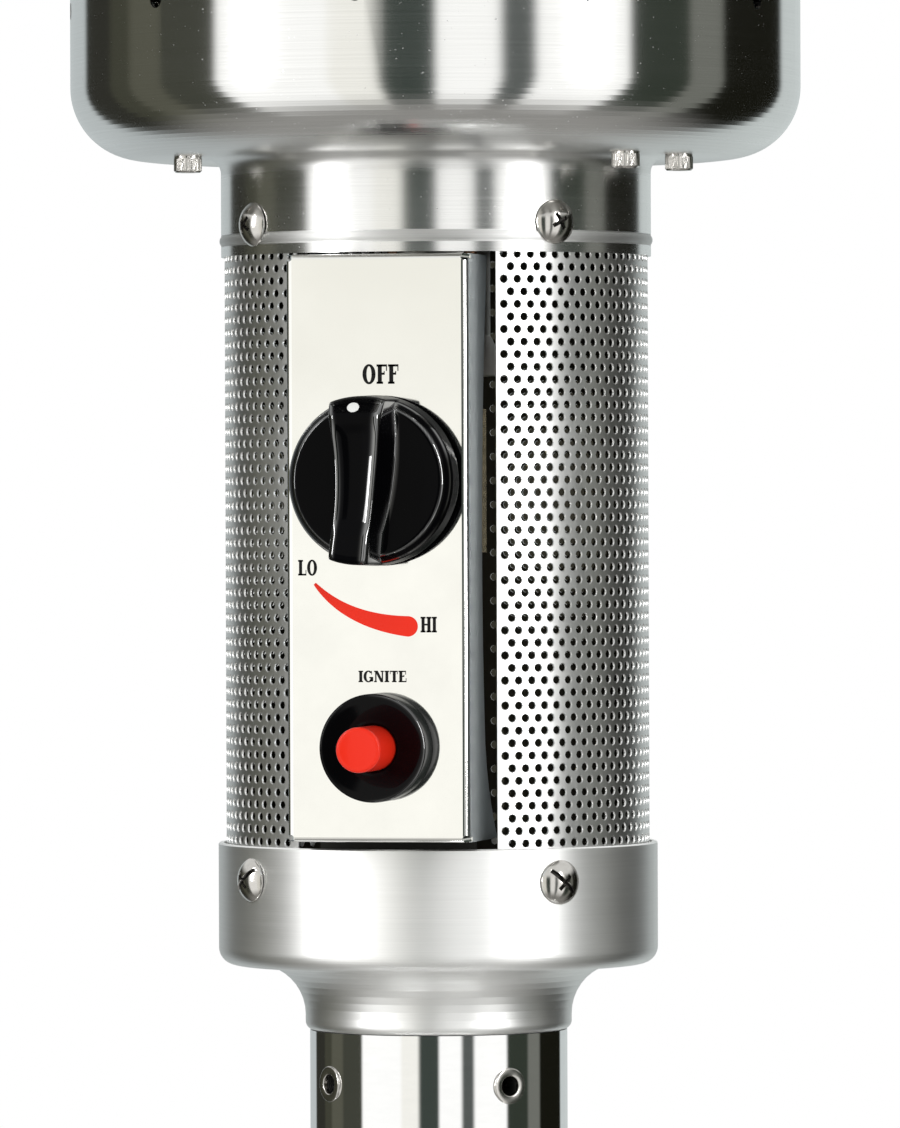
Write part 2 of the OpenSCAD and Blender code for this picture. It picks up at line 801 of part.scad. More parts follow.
module wrap_nuts() {
    color("gainsboro") for (z = [cup_screw_z, collar_screw_z])
        radial(quarter_angles, truss_nut_seat - truss_nut_h, z)
            hex_nut(truss_nut_af, truss_nut_h, truss_d + 2 * fit_gap);
}

module perforated_wrap() {
    low = cup_floor + 3;
    high = collar_low + wrap_lap;
    color("silver") difference() {
        rotate(wrap_open_deg / 2 - 90) rotate_extrude(angle = 360 - wrap_open_deg)
            translate([wrap_in_r, low]) square([wrap_t, high - low]);
        truss_holes(cup_screw_z);
        truss_holes(collar_screw_z);
    }
}

// The bead is pressed flat under the screws' heads
module upper_collar() {
    bead_low = collar_low + bead_rise;
    bead_r = (pow(bead_h / 2, 2) + pow(bead_proud, 2)) / (2 * bead_proud);
    bead_half = asin(bead_h / 2 / bead_r);
    color("silver") difference() {
        revolve(concat(
            [[collar_in_r, collar_low], [collar_r, collar_low]],
            arc(collar_r + bead_proud - bead_r, bead_low + bead_h / 2, bead_r, -bead_half, bead_half),
            arc(collar_r + collar_flare_r, drum_low - collar_flare_r, collar_flare_r, 180, 90),
            [[collar_flange_r, drum_low], [collar_flange_r, drum_low - collar_flange_t]],
            [[collar_in_r, drum_low - collar_flange_t]]));
        truss_holes(collar_screw_z);
        radial(quarter_angles, collar_r, collar_screw_z)
            cylinder(d = truss_head_d + 2 * screw_gap, h = 2 * bead_proud);
        upright(quarter_angles, flange_screw_r, drum_low - collar_flange_t)
            drill(flange_screw_d + 2 * screw_gap, collar_flange_t);
    }
}

module flange_screws() {
    color("gainsboro") upright(quarter_angles, flange_screw_r, drum_low - collar_flange_t) mirror([0, 0, 1])
        cross_screw(
            flange_screw_d, collar_flange_t + drum_wall + drum_ring_t - 0.5, inner_head_d, inner_head_h);
}

// Control panel

// Outline of the panel's channel, seen from above; side is its half width and face its depth
function channel_line(side, face, r) = concat(
    [[-side, -panel_face + flange_d + flange_ear_d]],
    arc(-side + r, -face + r, r, 180, 270, 6),
    arc(side - r, -face + r, r, 270, 360, 6),
    [[side, -panel_face + flange_d + flange_ear_d]]);

// Depth of a side flange at a height above the panel's lower edge: hollow, with an ear at its foot
function flange_depth(h) =
    flange_mid_d + (flange_d - flange_mid_d) * pow(2 * h / panel_h - 1, 2)
    + flange_ear_d * pow(max(0, 1 - h / flange_ear_h), 2);

// Outer faces of the panel's returns where its screws go in, their heads' tops at z = 0
module panel_screw_places() {
    for (x = [-pan_x, pan_x]) {
        translate([x, -panel_screw_y, panel_low]) mirror([0, 0, 1]) children();
        translate([x, -panel_screw_y, panel_high]) children();
    }
}

// Hole for a sunk head through a sheet below z = 0
module sunk_hole(t) {
    gap = 2 * fit_gap;
    translate([0, 0, -sunk_h]) cylinder(d1 = pan_d + gap, d2 = sunk_head_d + gap + 2 * cut, h = sunk_h + cut);
    translate([0, 0, -t - cut]) cylinder(d = pan_d + gap, h = t + cut);
}

// Screw whose head lies flush at z = 0
module sunk_screw(l) {
    recess_w = sunk_head_d * 0.14;
    recess_l = sunk_head_d * 0.5;
    difference() {
        union() {
            translate([0, 0, -sunk_h]) cylinder(d1 = pan_d, d2 = sunk_head_d, h = sunk_h);
            translate([0, 0, -l]) cylinder(d = pan_d, h = l - sunk_h / 2);
        }
        for (a = [0, 90]) rotate(a) translate([-recess_l / 2, -recess_w / 2, -sunk_h * 0.7])
            cube([recess_l, recess_w, sunk_h]);
    }
}

// Block with the panel's outline, its front edges rounded
module panel_block(side, face, low, high, r) {
    back = -panel_face + flange_d + flange_ear_d;
    edge = concat([[back, low]], arc(-face + r, low + r, r, 270, 180, 6),
        arc(-face + r, high - r, r, 180, 90, 6), [[back, high]]);
    intersection() {
        translate([0, 0, low]) linear_extrude(high - low) polygon(channel_line(side, face, r));
        rotate([90, 0, 90]) linear_extrude(2 * side, center = true) polygon(edge);
    }
}

// Bent steel tray with short top and bottom returns, relieved at its corners; its side flanges have hollow
// back edges
module control_panel() {
    half = panel_w / 2;
    steps = [for (i = [0:flange_steps]) panel_h * i / flange_steps];
    hollow = concat([for (h = steps) [flange_depth(h) - panel_face, panel_low + h]],
        [[0, panel_high + cut], [0, panel_low - cut]]);
    color("gainsboro") difference() {
        translate([panel_x, 0, 0]) difference() {
            panel_block(half, panel_face, panel_low, panel_high, panel_bend_r);
            panel_block(half - panel_t, panel_back, panel_low + panel_t, panel_high - panel_t,
                panel_bend_r - panel_t);
            translate([-half + panel_t, -panel_back + return_d, panel_low - cut])
                cube([panel_w - 2 * panel_t, panel_face, panel_h + 2 * cut]);
            for (x = [-1, 1], z = [panel_low + relief_in, panel_high - relief_in])
                facing(panel_face - relief_l, z, x * (half - relief_in)) drill(relief_d, relief_l);
            rotate([90, 0, 90]) linear_extrude(panel_w + 2 * cut, center = true) polygon(hollow);
        }
        facing(panel_back, knob_z) drill(stem_hole_d, panel_t);
        facing(panel_back, igniter_z) drill(igniter_d + 2 * fit_gap, panel_t);
        panel_screw_places() sunk_hole(panel_t);
    }
}

// Folded plate that stands on the cup's floor and carries the panel and the valve
module control_bracket() {
    lug_low = panel_low + panel_t;
    lug_high = panel_high - panel_t - bracket_t;
    lug_front = panel_screw_y + pan_d;
    color("darkgray") difference() {
        union() {
            translate([-bracket_w / 2, -bracket_face, cup_floor])
                cube([bracket_w, bracket_t, lug_high + bracket_t - cup_floor]);
            for (z = [lug_low, lug_high]) translate([-bracket_w / 2, -lug_front, z])
                cube([bracket_w, lug_front - bracket_back, bracket_t]);
            translate([-bracket_w / 2, -bracket_face, cup_floor])
                cube([bracket_w, foot_depth + bracket_t, bracket_t]);
        }
        facing(bracket_back, knob_z) drill(2 * (valve_boss_r + fit_gap), bracket_t);
        facing(bracket_back, igniter_z) drill(igniter_d + 2, bracket_t);
        for (x = [-pan_x, pan_x], z = [lug_low, lug_high]) translate([x, -panel_screw_y, z])
            drill(pan_d + 2 * fit_gap, bracket_t);
        for (x = [-pan_x, pan_x]) translate([x, -foot_screw_y, cup_floor])
            drill(pan_d + 2 * screw_gap, bracket_t);
        for (s = [-1, 1]) facing(bracket_back, knob_z + s * valve_screw_up, s * valve_screw_x)
            drill(pan_d + 2 * screw_gap, bracket_t);
    }
}

module pan_screw(l) {
    cross_screw(pan_d, l, pan_head_d, pan_head_h);
}

// Screws of the bracket: four sunk in the panel's returns, two in its foot, two in the valve
module bracket_screws() {
    color("gainsboro") {
        for (x = [-pan_x, pan_x]) translate([x, -foot_screw_y, cup_floor + bracket_t])
            pan_screw(bracket_t + cup_floor_t);
        panel_screw_places() sunk_screw(panel_t + bracket_t + 1.5);
        for (s = [-1, 1]) facing(bracket_face, knob_z + s * valve_screw_up, s * valve_screw_x)
            pan_screw(bracket_t + 8);
    }
}

// Knob and valve

// Frame of the pointer dot on the sloping end of the grip bar, z out of the slope
module dot_frame() {
    up = knob_d / 2 - dot_inset;
    level = knob_skirt_h + bar_h - (slope_l - dot_inset) * tan(bar_slope);
    facing(panel_face + knob_gap, knob_z) translate([0, up, level]) rotate([-bar_slope, 0, 0]) children();
}

module knob() {
    edge_r = 2;
    rear_r = 1;
    knob_r = knob_d / 2;
    scoop_r = (scoop_l * scoop_l / 4 + scoop_depth * scoop_depth) / (2 * scoop_depth);
    socket_depth = stem_front - panel_face - knob_gap + 0.5;
    bar = [[-bar_w, knob_d], [bar_w, knob_d], [bar_tail_w, -knob_d], [-bar_tail_w, -knob_d]] / 2;
    color("#1a1a1a") difference() {
        facing(panel_face + knob_gap, knob_z) difference() {
            union() {
                revolve(concat(
                    [[0, 0]],
                    arc(knob_r - rear_r, rear_r, rear_r, 270, 360, 4),
                    arc(knob_r - edge_r - 0.3, knob_skirt_h - edge_r, edge_r, 0, 90, 6),
                    [[0, knob_skirt_h]]));
                intersection() {
                    rotate(-bar_lean) linear_extrude(knob_skirt_h + bar_h) polygon(bar);
                    cylinder(r = knob_r - 0.3, h = knob_skirt_h + bar_h);
                }
            }
            translate([0, 0, knob_skirt_h + bar_h - scoop_depth + scoop_r]) rotate([0, 90, 0])
                cylinder(r = scoop_r, h = knob_d, center = true);
            difference() {
                translate([0, 0, -cut]) cylinder(r = stem_r + run_gap, h = socket_depth + cut);
                translate([-stem_r, stem_r - stem_flat + run_gap, -2 * cut]) cube([stem_d, stem_d, knob_d]);
            }
        }
        dot_frame() {
            translate([-bar_w, -slope_l, 0]) cube([2 * bar_w, 2 * slope_l, bar_h]);
            translate([0, 0, -dot_t]) cylinder(d = dot_d + 2 * fit_gap, h = dot_t + cut);
        }
    }
}

module knob_dot() {
    color("white") dot_frame() translate([0, 0, -dot_t]) cylinder(d = dot_d, h = dot_t);
}

module valve_stem() {
    color("silver") difference() {
        facing(stem_end, knob_z) cylinder(r = stem_r, h = stem_front - stem_end);
        translate([-stem_r, -stem_front - cut, knob_z + stem_r - stem_flat])
            cube([stem_d, stem_front - panel_face - knob_gap + 2 * cut, stem_d]);
    }
}

module stem_seat() {
    color("gainsboro") facing(seat_back, knob_z) pipe(seat_r, stem_r + run_gap, seat_t);
}

// Coil spring along the stem or the button, between two depths
module spring_between(back, front, z, r, wire_d, turns) {
    line = coil(r, front - back - wire_d - 0.2, turns, 8);
    echo(spring_gap = least_gap(line, wire_d, 8));
    facing(back + wire_d / 2 + 0.1, z) sweep(line, wire_d, 6);
}

module stem_spring() {
    color("lightgray")
        spring_between(boss_front, seat_back, knob_z, stem_r + 1 + stem_wire_d, stem_wire_d, stem_turns);
}

module valve_body() {
    arm_l = valve_block_back + valve_port_r + 3;
    color("goldenrod") difference() {
        union() {
            translate([-valve_w / 2, -bracket_back, knob_z - valve_h / 2])
                cube([valve_w, bracket_back - valve_block_back, valve_h]);
            translate([-valve_arm_w / 2, -valve_block_back - 1, knob_z - valve_arm_w / 2])
                cube([valve_arm_w, arm_l + 1, valve_arm_w]);
            facing(bracket_back - 1, knob_z) cylinder(r = valve_boss_r, h = bracket_t + valve_boss_l + 1);
            translate([0, 0, knob_z - valve_arm_w / 2 - valve_port_l])
                cylinder(r = valve_port_r, h = valve_arm_w + 2 * valve_port_l);
        }
        facing(stem_end - knob_travel - 1, knob_z)
            cylinder(r = stem_r + run_gap, h = boss_front - stem_end + knob_travel + 2);
        translate([0, 0, knob_z - valve_arm_w / 2 - valve_port_l - cut])
            cylinder(d = tube_d + 2 * fit_gap, h = 6 + cut);
        translate([0, 0, knob_z - valve_arm_w / 2 - valve_port_l - cut])
            cylinder(d = gas_bore_d, h = valve_arm_w + 2 * valve_port_l + 2 * cut);
        for (s = [-1, 1]) facing(bracket_back - 8.5, knob_z + s * valve_screw_up, s * valve_screw_x)
            cylinder(d = pan_d + 2 * fit_gap, h = 9);
    }
}

// Igniter

module igniter_bezel() {
    r = bezel_d / 2;
    color("#202020") facing(panel_face, igniter_z) difference() {
        revolve(concat(
            [[0, 0], [r, 0]],
            arc(r - bezel_edge_r, bezel_h - bezel_edge_r, bezel_edge_r, 0, 90, 4),
            [[button_r + bezel_edge_r, bezel_h - bezel_dish], [0, bezel_h - bezel_dish]]));
        translate([0, 0, -cut]) cylinder(r = button_r + 0.3, h = bezel_h + 2 * cut);
        translate([0, 0, -cut]) cylinder(r = igniter_r + fit_gap, h = bezel_h - bezel_wall - 1.5 + cut);
    }
}

module igniter_body() {
    front = bezel_front - bezel_wall - 2;
    color("dimgray") difference() {
        union() {
            facing(igniter_back, igniter_z) cylinder(r = igniter_r, h = front - igniter_back);
            facing(panel_back - igniter_nut_t, igniter_z)
                cylinder(d = igniter_nut_af / cos(30), h = igniter_nut_t, $fn = 6);
        }
        facing(igniter_back + igniter_floor_t, igniter_z)
            cylinder(r = button_r + run_gap, h = front - igniter_back);
    }
}

module igniter_button() {
    edge_r = 0.8;
    color("red") facing(button_back, igniter_z) revolve(concat(
        [[0, 0], [button_r, 0]],
        arc(button_r - edge_r, button_front - button_back - edge_r, edge_r, 0, 90, 4),
        [[0, button_front - button_back]]));
}

module igniter_spring() {
    color("lightgray") spring_between(igniter_back + igniter_floor_t, button_back, igniter_z,
        button_r - 1 - button_wire_d, button_wire_d, button_turns);
}

module igniter_lead() {
    color("black") sweep(smooth_route(igniter_route, route_steps), lead_d, tube_sides);
}

// Burner and pilot

module injector() {
    low = knob_z + valve_arm_w / 2 + valve_port_l;
    color("goldenrod") translate([0, 0, low]) difference() {
        union() {
            cylinder(d = 14 / cos(30), h = 8, $fn = 6);
            cylinder(d1 = 10, d2 = 7, h = 16);
        }
        translate([0, 0, -cut]) cylinder(d = 2, h = 16 + 2 * cut);
    }
}

module mixer_tube() {
    low = knob_z + valve_arm_w / 2 + valve_port_l + 10;
    in_r = mixer_r - mixer_wall;
    color("silver") revolve([
        [bell_r - mixer_wall, low], [bell_r, low], [mixer_r, low + bell_h], [mixer_r, lid_top - 3],
        [mixer_r + 3, lid_top - 3], [mixer_r + 3, lid_top], [mixer_r, lid_top],
        [mixer_r, lid_top + 4], [in_r, lid_top + 4], [in_r, low + bell_h]]);
}

// Points from the drum's hole along its floor and up its wall; shift moves the line inwards by the wall
function drum_line(shift) = concat(
    [[collar_flange_r, drum_low + shift]],
    arc(drum_flat_r, drum_low + drum_edge_r, drum_edge_r - shift, 270, 360, 2 * arc_steps),
    [[drum_r - shift, drum_high]]);

module burner_drum() {
    inner = drum_line(drum_wall);
    vent_angles = [for (i = [0:vent_count - 1]) 360 * i / vent_count];
    color("silver") difference() {
        revolve(concat(drum_line(0), [for (i = [len(inner) - 1:-1:0]) inner[i]]));
        radial(vent_angles, drum_r - 10, drum_low + vent_rise) cylinder(d = vent_d, h = 20);
        radial(quarter_angles, drum_r - 10, lid_screw_z) cylinder(d = lid_screw_d + 2 * screw_gap, h = 20);
        upright(drum_screw_angles, drum_screw_r, drum_low) drill(drum_screw_d + 2 * screw_gap, drum_wall);
        upright(quarter_angles, flange_screw_r, drum_low) drill(flange_screw_d + 2 * screw_gap, drum_wall);
    }
}

module drum_ring() {
    color("gray") difference() {
        translate([0, 0, drum_floor]) pipe(drum_flat_r - 1, drum_ring_in_r, drum_ring_t);
        upright(drum_screw_angles, drum_screw_r, drum_floor) drill(drum_screw_d + 2 * fit_gap, drum_ring_t);
        upright(quarter_angles, flange_screw_r, drum_floor) drill(flange_screw_d + 2 * fit_gap, drum_ring_t);
    }
}

module drum_screws() {
    color("gainsboro") upright(drum_screw_angles, drum_screw_r, drum_low) mirror([0, 0, 1])
        socket_screw(drum_screw_d, drum_wall + drum_ring_t - 0.3);
}

// Spun lid: a skirt inside the drum, a lip over its edge and a step that centres the emitter screen
module drum_lid() {
    step_r = screen_in_r - fit_gap;
    color("silver") difference() {
        union() {
            translate([0, 0, drum_high]) pipe(drum_r + lid_lip, lid_hole_r, lid_t);
            translate([0, 0, drum_high - lid_skirt_h])
                pipe(lid_skirt_r, lid_skirt_r - lid_t, lid_skirt_h + lid_t / 2);
            translate([0, 0, lid_top - lid_t / 2]) pipe(step_r, step_r - lid_t, ring_step_h + lid_t / 2);
        }
        radial(quarter_angles, drum_r - 20, lid_screw_z) cylinder(d = lid_screw_d + 2 * fit_gap, h = 20);
        upright(third_angles, rod_r, drum_high) drill(rod_d + 2 * screw_gap, lid_t);
        translate([-lead_slot_w / 2, lead_y - lead_slot_d / 2, drum_high - cut])
            cube([lead_slot_w, lead_slot_d, lid_t + 2 * cut]);
        for (x = [-pan_x, pan_x]) translate([x, pilot_screw_y, drum_high]) drill(pan_d + 2 * fit_gap, lid_t);
    }
}

module lid_screws() {
    color("gainsboro") radial(quarter_angles, drum_r, lid_screw_z)
        cross_screw(lid_screw_d, drum_wall + fit_gap + lid_t + 1, 8, 2.4);
}

// Burner head: an upturned pan on a flange, with a ring of ports, closed below around the mixer tube
module burner_head() {
    port_angles = [for (i = [0:head_port_count - 1]) 360 * i / head_port_count];
    edge_r = 6;
    color("gray") translate([0, 0, lid_top]) difference() {
        revolve(concat(
            [[mixer_r + fit_gap, 0], [head_flange_r, 0], [head_flange_r, head_wall], [head_r, head_wall]],
            arc(head_r - edge_r, head_h - edge_r, edge_r, 0, 90),
            [[0, head_h], [0, head_h - head_wall]],
            arc(head_r - edge_r, head_h - edge_r, edge_r - head_wall, 90, 0),
            [[head_r - head_wall, head_wall], [mixer_r + fit_gap, head_wall]]));
        radial(port_angles, head_r - 5, head_h * 0.5) cylinder(d = head_port_d, h = 10);
    }
}

module pilot_bracket() {
    color("silver") translate([0, 0, lid_top]) difference() {
        translate([-pilot_plate_w / 2, pilot_screw_y + 5 - pilot_plate_d, 0])
            cube([pilot_plate_w, pilot_plate_d, pilot_plate_t]);
        for (x = [-pilot_x, 0, pilot_x]) translate([x, lead_y, 0]) drill(pilot_hole_d, pilot_plate_t);
        for (x = [-pan_x, pan_x]) translate([x, pilot_screw_y, 0])
            drill(pan_d + 2 * screw_gap, pilot_plate_t);
    }
}

module pilot_screws() {
    color("gainsboro") for (x = [-pan_x, pan_x]) translate([x, pilot_screw_y, lid_top + pilot_plate_t])
        pan_screw(lid_t + 2 * pilot_plate_t);
}

module pilot_burner() {
    color("goldenrod") translate([pilot_x, lead_y, lid_top]) difference() {
        union() {
            cylinder(d = pilot_peg_d, h = pilot_plate_t + cut);
            translate([0, 0, pilot_plate_t]) cylinder(d = pilot_d, h = pilot_h);
            translate([0, 0, pilot_plate_t + pilot_h]) dome(pilot_d, pilot_d / 3);
        }
        translate([0, 0, pilot_h - pilot_d / 2]) rotate([-90, 0, 0]) cylinder(d = pilot_d / 3, h = pilot_d);
    }
}

module spark_electrode() {
    neck_z = pilot_plate_t + electrode_h;
    color("ivory") translate([-pilot_x, lead_y, lid_top]) union() {
        cylinder(d = pilot_peg_d, h = pilot_plate_t + cut);
        translate([0, 0, pilot_plate_t]) cylinder(d = electrode_d, h = electrode_h);
        translate([0, 0, neck_z]) cylinder(d1 = electrode_d, d2 = electrode_d / 2, h = electrode_d / 2);
        cylinder(d = electrode_tip_d, h = electrode_tip_h);
    }
}

module pilot_tube() {
    color("peru") sweep(smooth_route(pilot_route, route_steps), pilot_tube_d, tube_sides);
}

module thermocouple() {
    color("peru") sweep(smooth_route(thermocouple_route, route_steps), thermocouple_d, tube_sides);
}

// Emitter and reflector

module emitter_screen() {
    color("silver") translate([0, 0, lid_top]) pipe(screen_r, screen_in_r, screen_h);
}

module emitter_cap() {
    rim_r = screen_r + fit_gap + cap_t;
    edge_r = 3;
    color("silver") difference() {
        revolve(concat(
            [[0, screen_top], [screen_r + fit_gap, screen_top], [screen_r + fit_gap, screen_top - cap_rim_h]],
            [[rim_r, screen_top - cap_rim_h]],
            arc(rim_r - edge_r, cap_top - edge_r, edge_r, 0, 90, 6),
            [[0, cap_top]]));
        upright(third_angles, rod_r, screen_top) drill(rod_d + 2 * screw_gap, cap_t);
    }
}

module tie_rods() {
    color("lightgray") upright(third_angles, rod_r, rod_low) cylinder(d = rod_d, h = rod_high - rod_low - 1);
}

// Nuts on both faces of the lid and under the cap
module rod_nuts() {
    color("gainsboro") for (z = [drum_high - rod_nut_h, lid_top, screen_top - rod_nut_h])
        upright(third_angles, rod_r, z) hex_nut(rod_nut_af, rod_nut_h, rod_d + 2 * fit_gap);
}

module rod_spacers() {
    color("silver") upright(third_angles, rod_r, cap_top)
        pipe(spacer_d / 2, rod_d / 2 + fit_gap, reflector_gap);
}

// Outer line of the reflector from its middle to its rim; shift moves the line inwards by the sheet
function reflector_line(shift) =
    let (slope = atan2(reflector_drop, reflector_r - reflector_flat_r),
        bend = reflector_bend_r - shift,
        rim_z = reflector_top - reflector_drop)
    concat(
        [[0, reflector_top - shift]],
        arc(reflector_flat_r - reflector_bend_r * tan(slope / 2), reflector_top - reflector_bend_r, bend,
            90, 90 - slope),
        [[reflector_r - shift * tan(45 - slope / 2), rim_z - shift * tan(45 - slope / 2) * 0.2]],
        [[reflector_r - shift, rim_z - reflector_lip_h]]);

module reflector() {
    inner = reflector_line(reflector_t);
    color("gainsboro") difference() {
        revolve(concat(reflector_line(0), [for (i = [len(inner) - 1:-1:0]) inner[i]]));
        upright(third_angles, rod_r, reflector_low) drill(rod_d + 2 * screw_gap, reflector_t);
    }
}

module reflector_washers() {
    color("gainsboro") upright(third_angles, rod_r, reflector_top)
        pipe(washer_d / 2, rod_d / 2 + fit_gap, washer_t);
}

module wing_nuts() {
    color("gainsboro") upright(third_angles, rod_r, reflector_top + washer_t) difference() {
        union() {
            cylinder(d1 = wing_hub_d + 2, d2 = wing_hub_d - 1, h = wing_h - 2);
            for (a = [0, 180]) rotate(a) translate([0, wing_t / 2, 0]) rotate([90, 0, 0])
                linear_extrude(wing_t) polygon(concat(
                    [[wing_hub_d / 2 - 2, 1.5]],
                    arc(wing_span / 2 - 4, wing_h, 4, -80, 150, 8),
                    [[wing_hub_d / 2 - 2, wing_h - 3]]));
        }
        translate([0, 0, -cut]) cylinder(d = rod_d + 2 * fit_gap, h = 2 * wing_h);
    }
}

rubber_feet();
base_plate();
base_cover();
post_socket();
socket_bolts();
post();
post_screws();
post_ring();
post_inserts();
gas_inlet();
inlet_saddle();
inlet_locknut();
supply_tube();
post_adapter();
adapter_screws();
lower_cup();
cup_screws();
wrap_nuts();
perforated_wrap();
upper_collar();
collar_screws();
flange_screws();
control_panel();
control_bracket();
bracket_screws();
knob();
knob_dot();
valve_stem();
stem_seat();
stem_spring();
valve_body();
igniter_bezel();
igniter_body();
igniter_button();
igniter_spring();
igniter_lead();
injector();
mixer_tube();
burner_drum();
drum_ring();
drum_screws();
drum_lid();
lid_screws();
burner_head();
pilot_bracket();
pilot_screws();
pilot_burner();
pilot_tube();
thermocouple();
spark_electrode();
emitter_screen();
emitter_cap();
tie_rods();
rod_nuts();
rod_spacers();
reflector();
reflector_washers();
wing_nuts();
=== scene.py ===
"""Looks of a gas infrared heater: finishes, pierced sheets, controls, screws, springs and printed legends.

Lengths in the classes of shapes are millimetres, as on the drawing. Those of the finishes and the studio are
metres, like the meshes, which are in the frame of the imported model. Angles round the axis start at the
panel's normal, which is -Y, and grow towards +X.
"""

import logging
import math
from collections.abc import Callable
from dataclasses import dataclass, field
from enum import Enum
from typing import Any

import bmesh
import bpy
import numpy as np
from mathutils import Matrix, Vector


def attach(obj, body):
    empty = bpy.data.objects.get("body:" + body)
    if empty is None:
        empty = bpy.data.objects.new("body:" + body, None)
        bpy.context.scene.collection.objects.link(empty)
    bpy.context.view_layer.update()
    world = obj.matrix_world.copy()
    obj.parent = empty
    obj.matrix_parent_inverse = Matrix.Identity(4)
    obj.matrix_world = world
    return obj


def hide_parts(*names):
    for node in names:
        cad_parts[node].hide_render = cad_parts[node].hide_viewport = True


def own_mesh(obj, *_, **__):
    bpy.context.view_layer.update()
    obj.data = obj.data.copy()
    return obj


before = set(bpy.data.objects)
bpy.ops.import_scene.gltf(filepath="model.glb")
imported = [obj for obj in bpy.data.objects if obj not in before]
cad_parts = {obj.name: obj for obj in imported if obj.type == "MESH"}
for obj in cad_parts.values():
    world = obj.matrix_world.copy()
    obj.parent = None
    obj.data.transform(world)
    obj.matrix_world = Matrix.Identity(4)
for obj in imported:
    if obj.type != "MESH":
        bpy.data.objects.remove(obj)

# Metres in a millimetre, and how near two points lie that are one, in metres
MM, WELD = 0.001, 2.0e-7
LOG = logging.getLogger("heater")
Triple = tuple[float, float, float]
Colour = Triple
Array = np.ndarray
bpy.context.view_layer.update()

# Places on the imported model, in millimetres
POST_RADIUS, WRAP_RADIUS, PANEL_FACE = 38.1, 62.6, 79.0
IGNITER_Z, IGNITER_BACK, BUTTON_BACK = 384.5, 39.8, 73.8
KNOB_Z, VALVE_TOP, COLLAR_LOW = 461.2, 482.2, 527.5
DRUM_LOW, DRUM_HIGH, LID_TOP = 556.5, 646.5, 648.0
LEAD_Y, PILOT_X = -75.5, 9.0
QUARTERS = (45.0, 135.0, 225.0, 315.0)


class Body(str, Enum):
    """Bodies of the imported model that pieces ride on."""

    HEATER = "heater"
    KNOB = "control_knob"
    BUTTON = "push_button"


# Shader graphs


class Wire:
    """A shader value that takes part in Python arithmetic; each operator adds one Math node."""

    def __init__(self, board: "Board", socket: bpy.types.NodeSocket) -> None:
        """Keeps the socket and the board that it belongs to."""
        self.board = board
        self.socket = socket

    def maths(self, operation: str, first: "Wire | float", second: "Wire | float" = 0.0) -> "Wire":
        """Adds a Math node.

        Args:
            operation: the Math node's operation.
            first: its first value.
            second: its second value.

        Returns:
            The node's result.
        """
        return self.board.node("ShaderNodeMath", {"operation": operation}, {0: first, 1: second})

    def __add__(self, other: "Wire | float") -> "Wire":
        """Sum."""
        return self.maths("ADD", self, other)

    def __radd__(self, other: float) -> "Wire":
        """Sum with a number on the left."""
        return self.maths("ADD", other, self)

    def __sub__(self, other: "Wire | float") -> "Wire":
        """Difference."""
        return self.maths("SUBTRACT", self, other)

    def __mul__(self, other: "Wire | float") -> "Wire":
        """Product."""
        return self.maths("MULTIPLY", self, other)

    def __truediv__(self, other: "Wire | float") -> "Wire":
        """Quotient."""
        return self.maths("DIVIDE", self, other)

    def clamp(self) -> "Wire":
        """The value held between 0 and 1."""
        return self.maths("MINIMUM", self.maths("MAXIMUM", self, 0.0), 1.0)

    def step(self, low: float, high: float) -> "Wire":
        """A smooth step from 0 at low to 1 at high."""
        settings = {"interpolation_type": "SMOOTHSTEP"}
        return self.board.node("ShaderNodeMapRange", settings, {0: self, 1: low, 2: high, 3: 0.0, 4: 1.0})


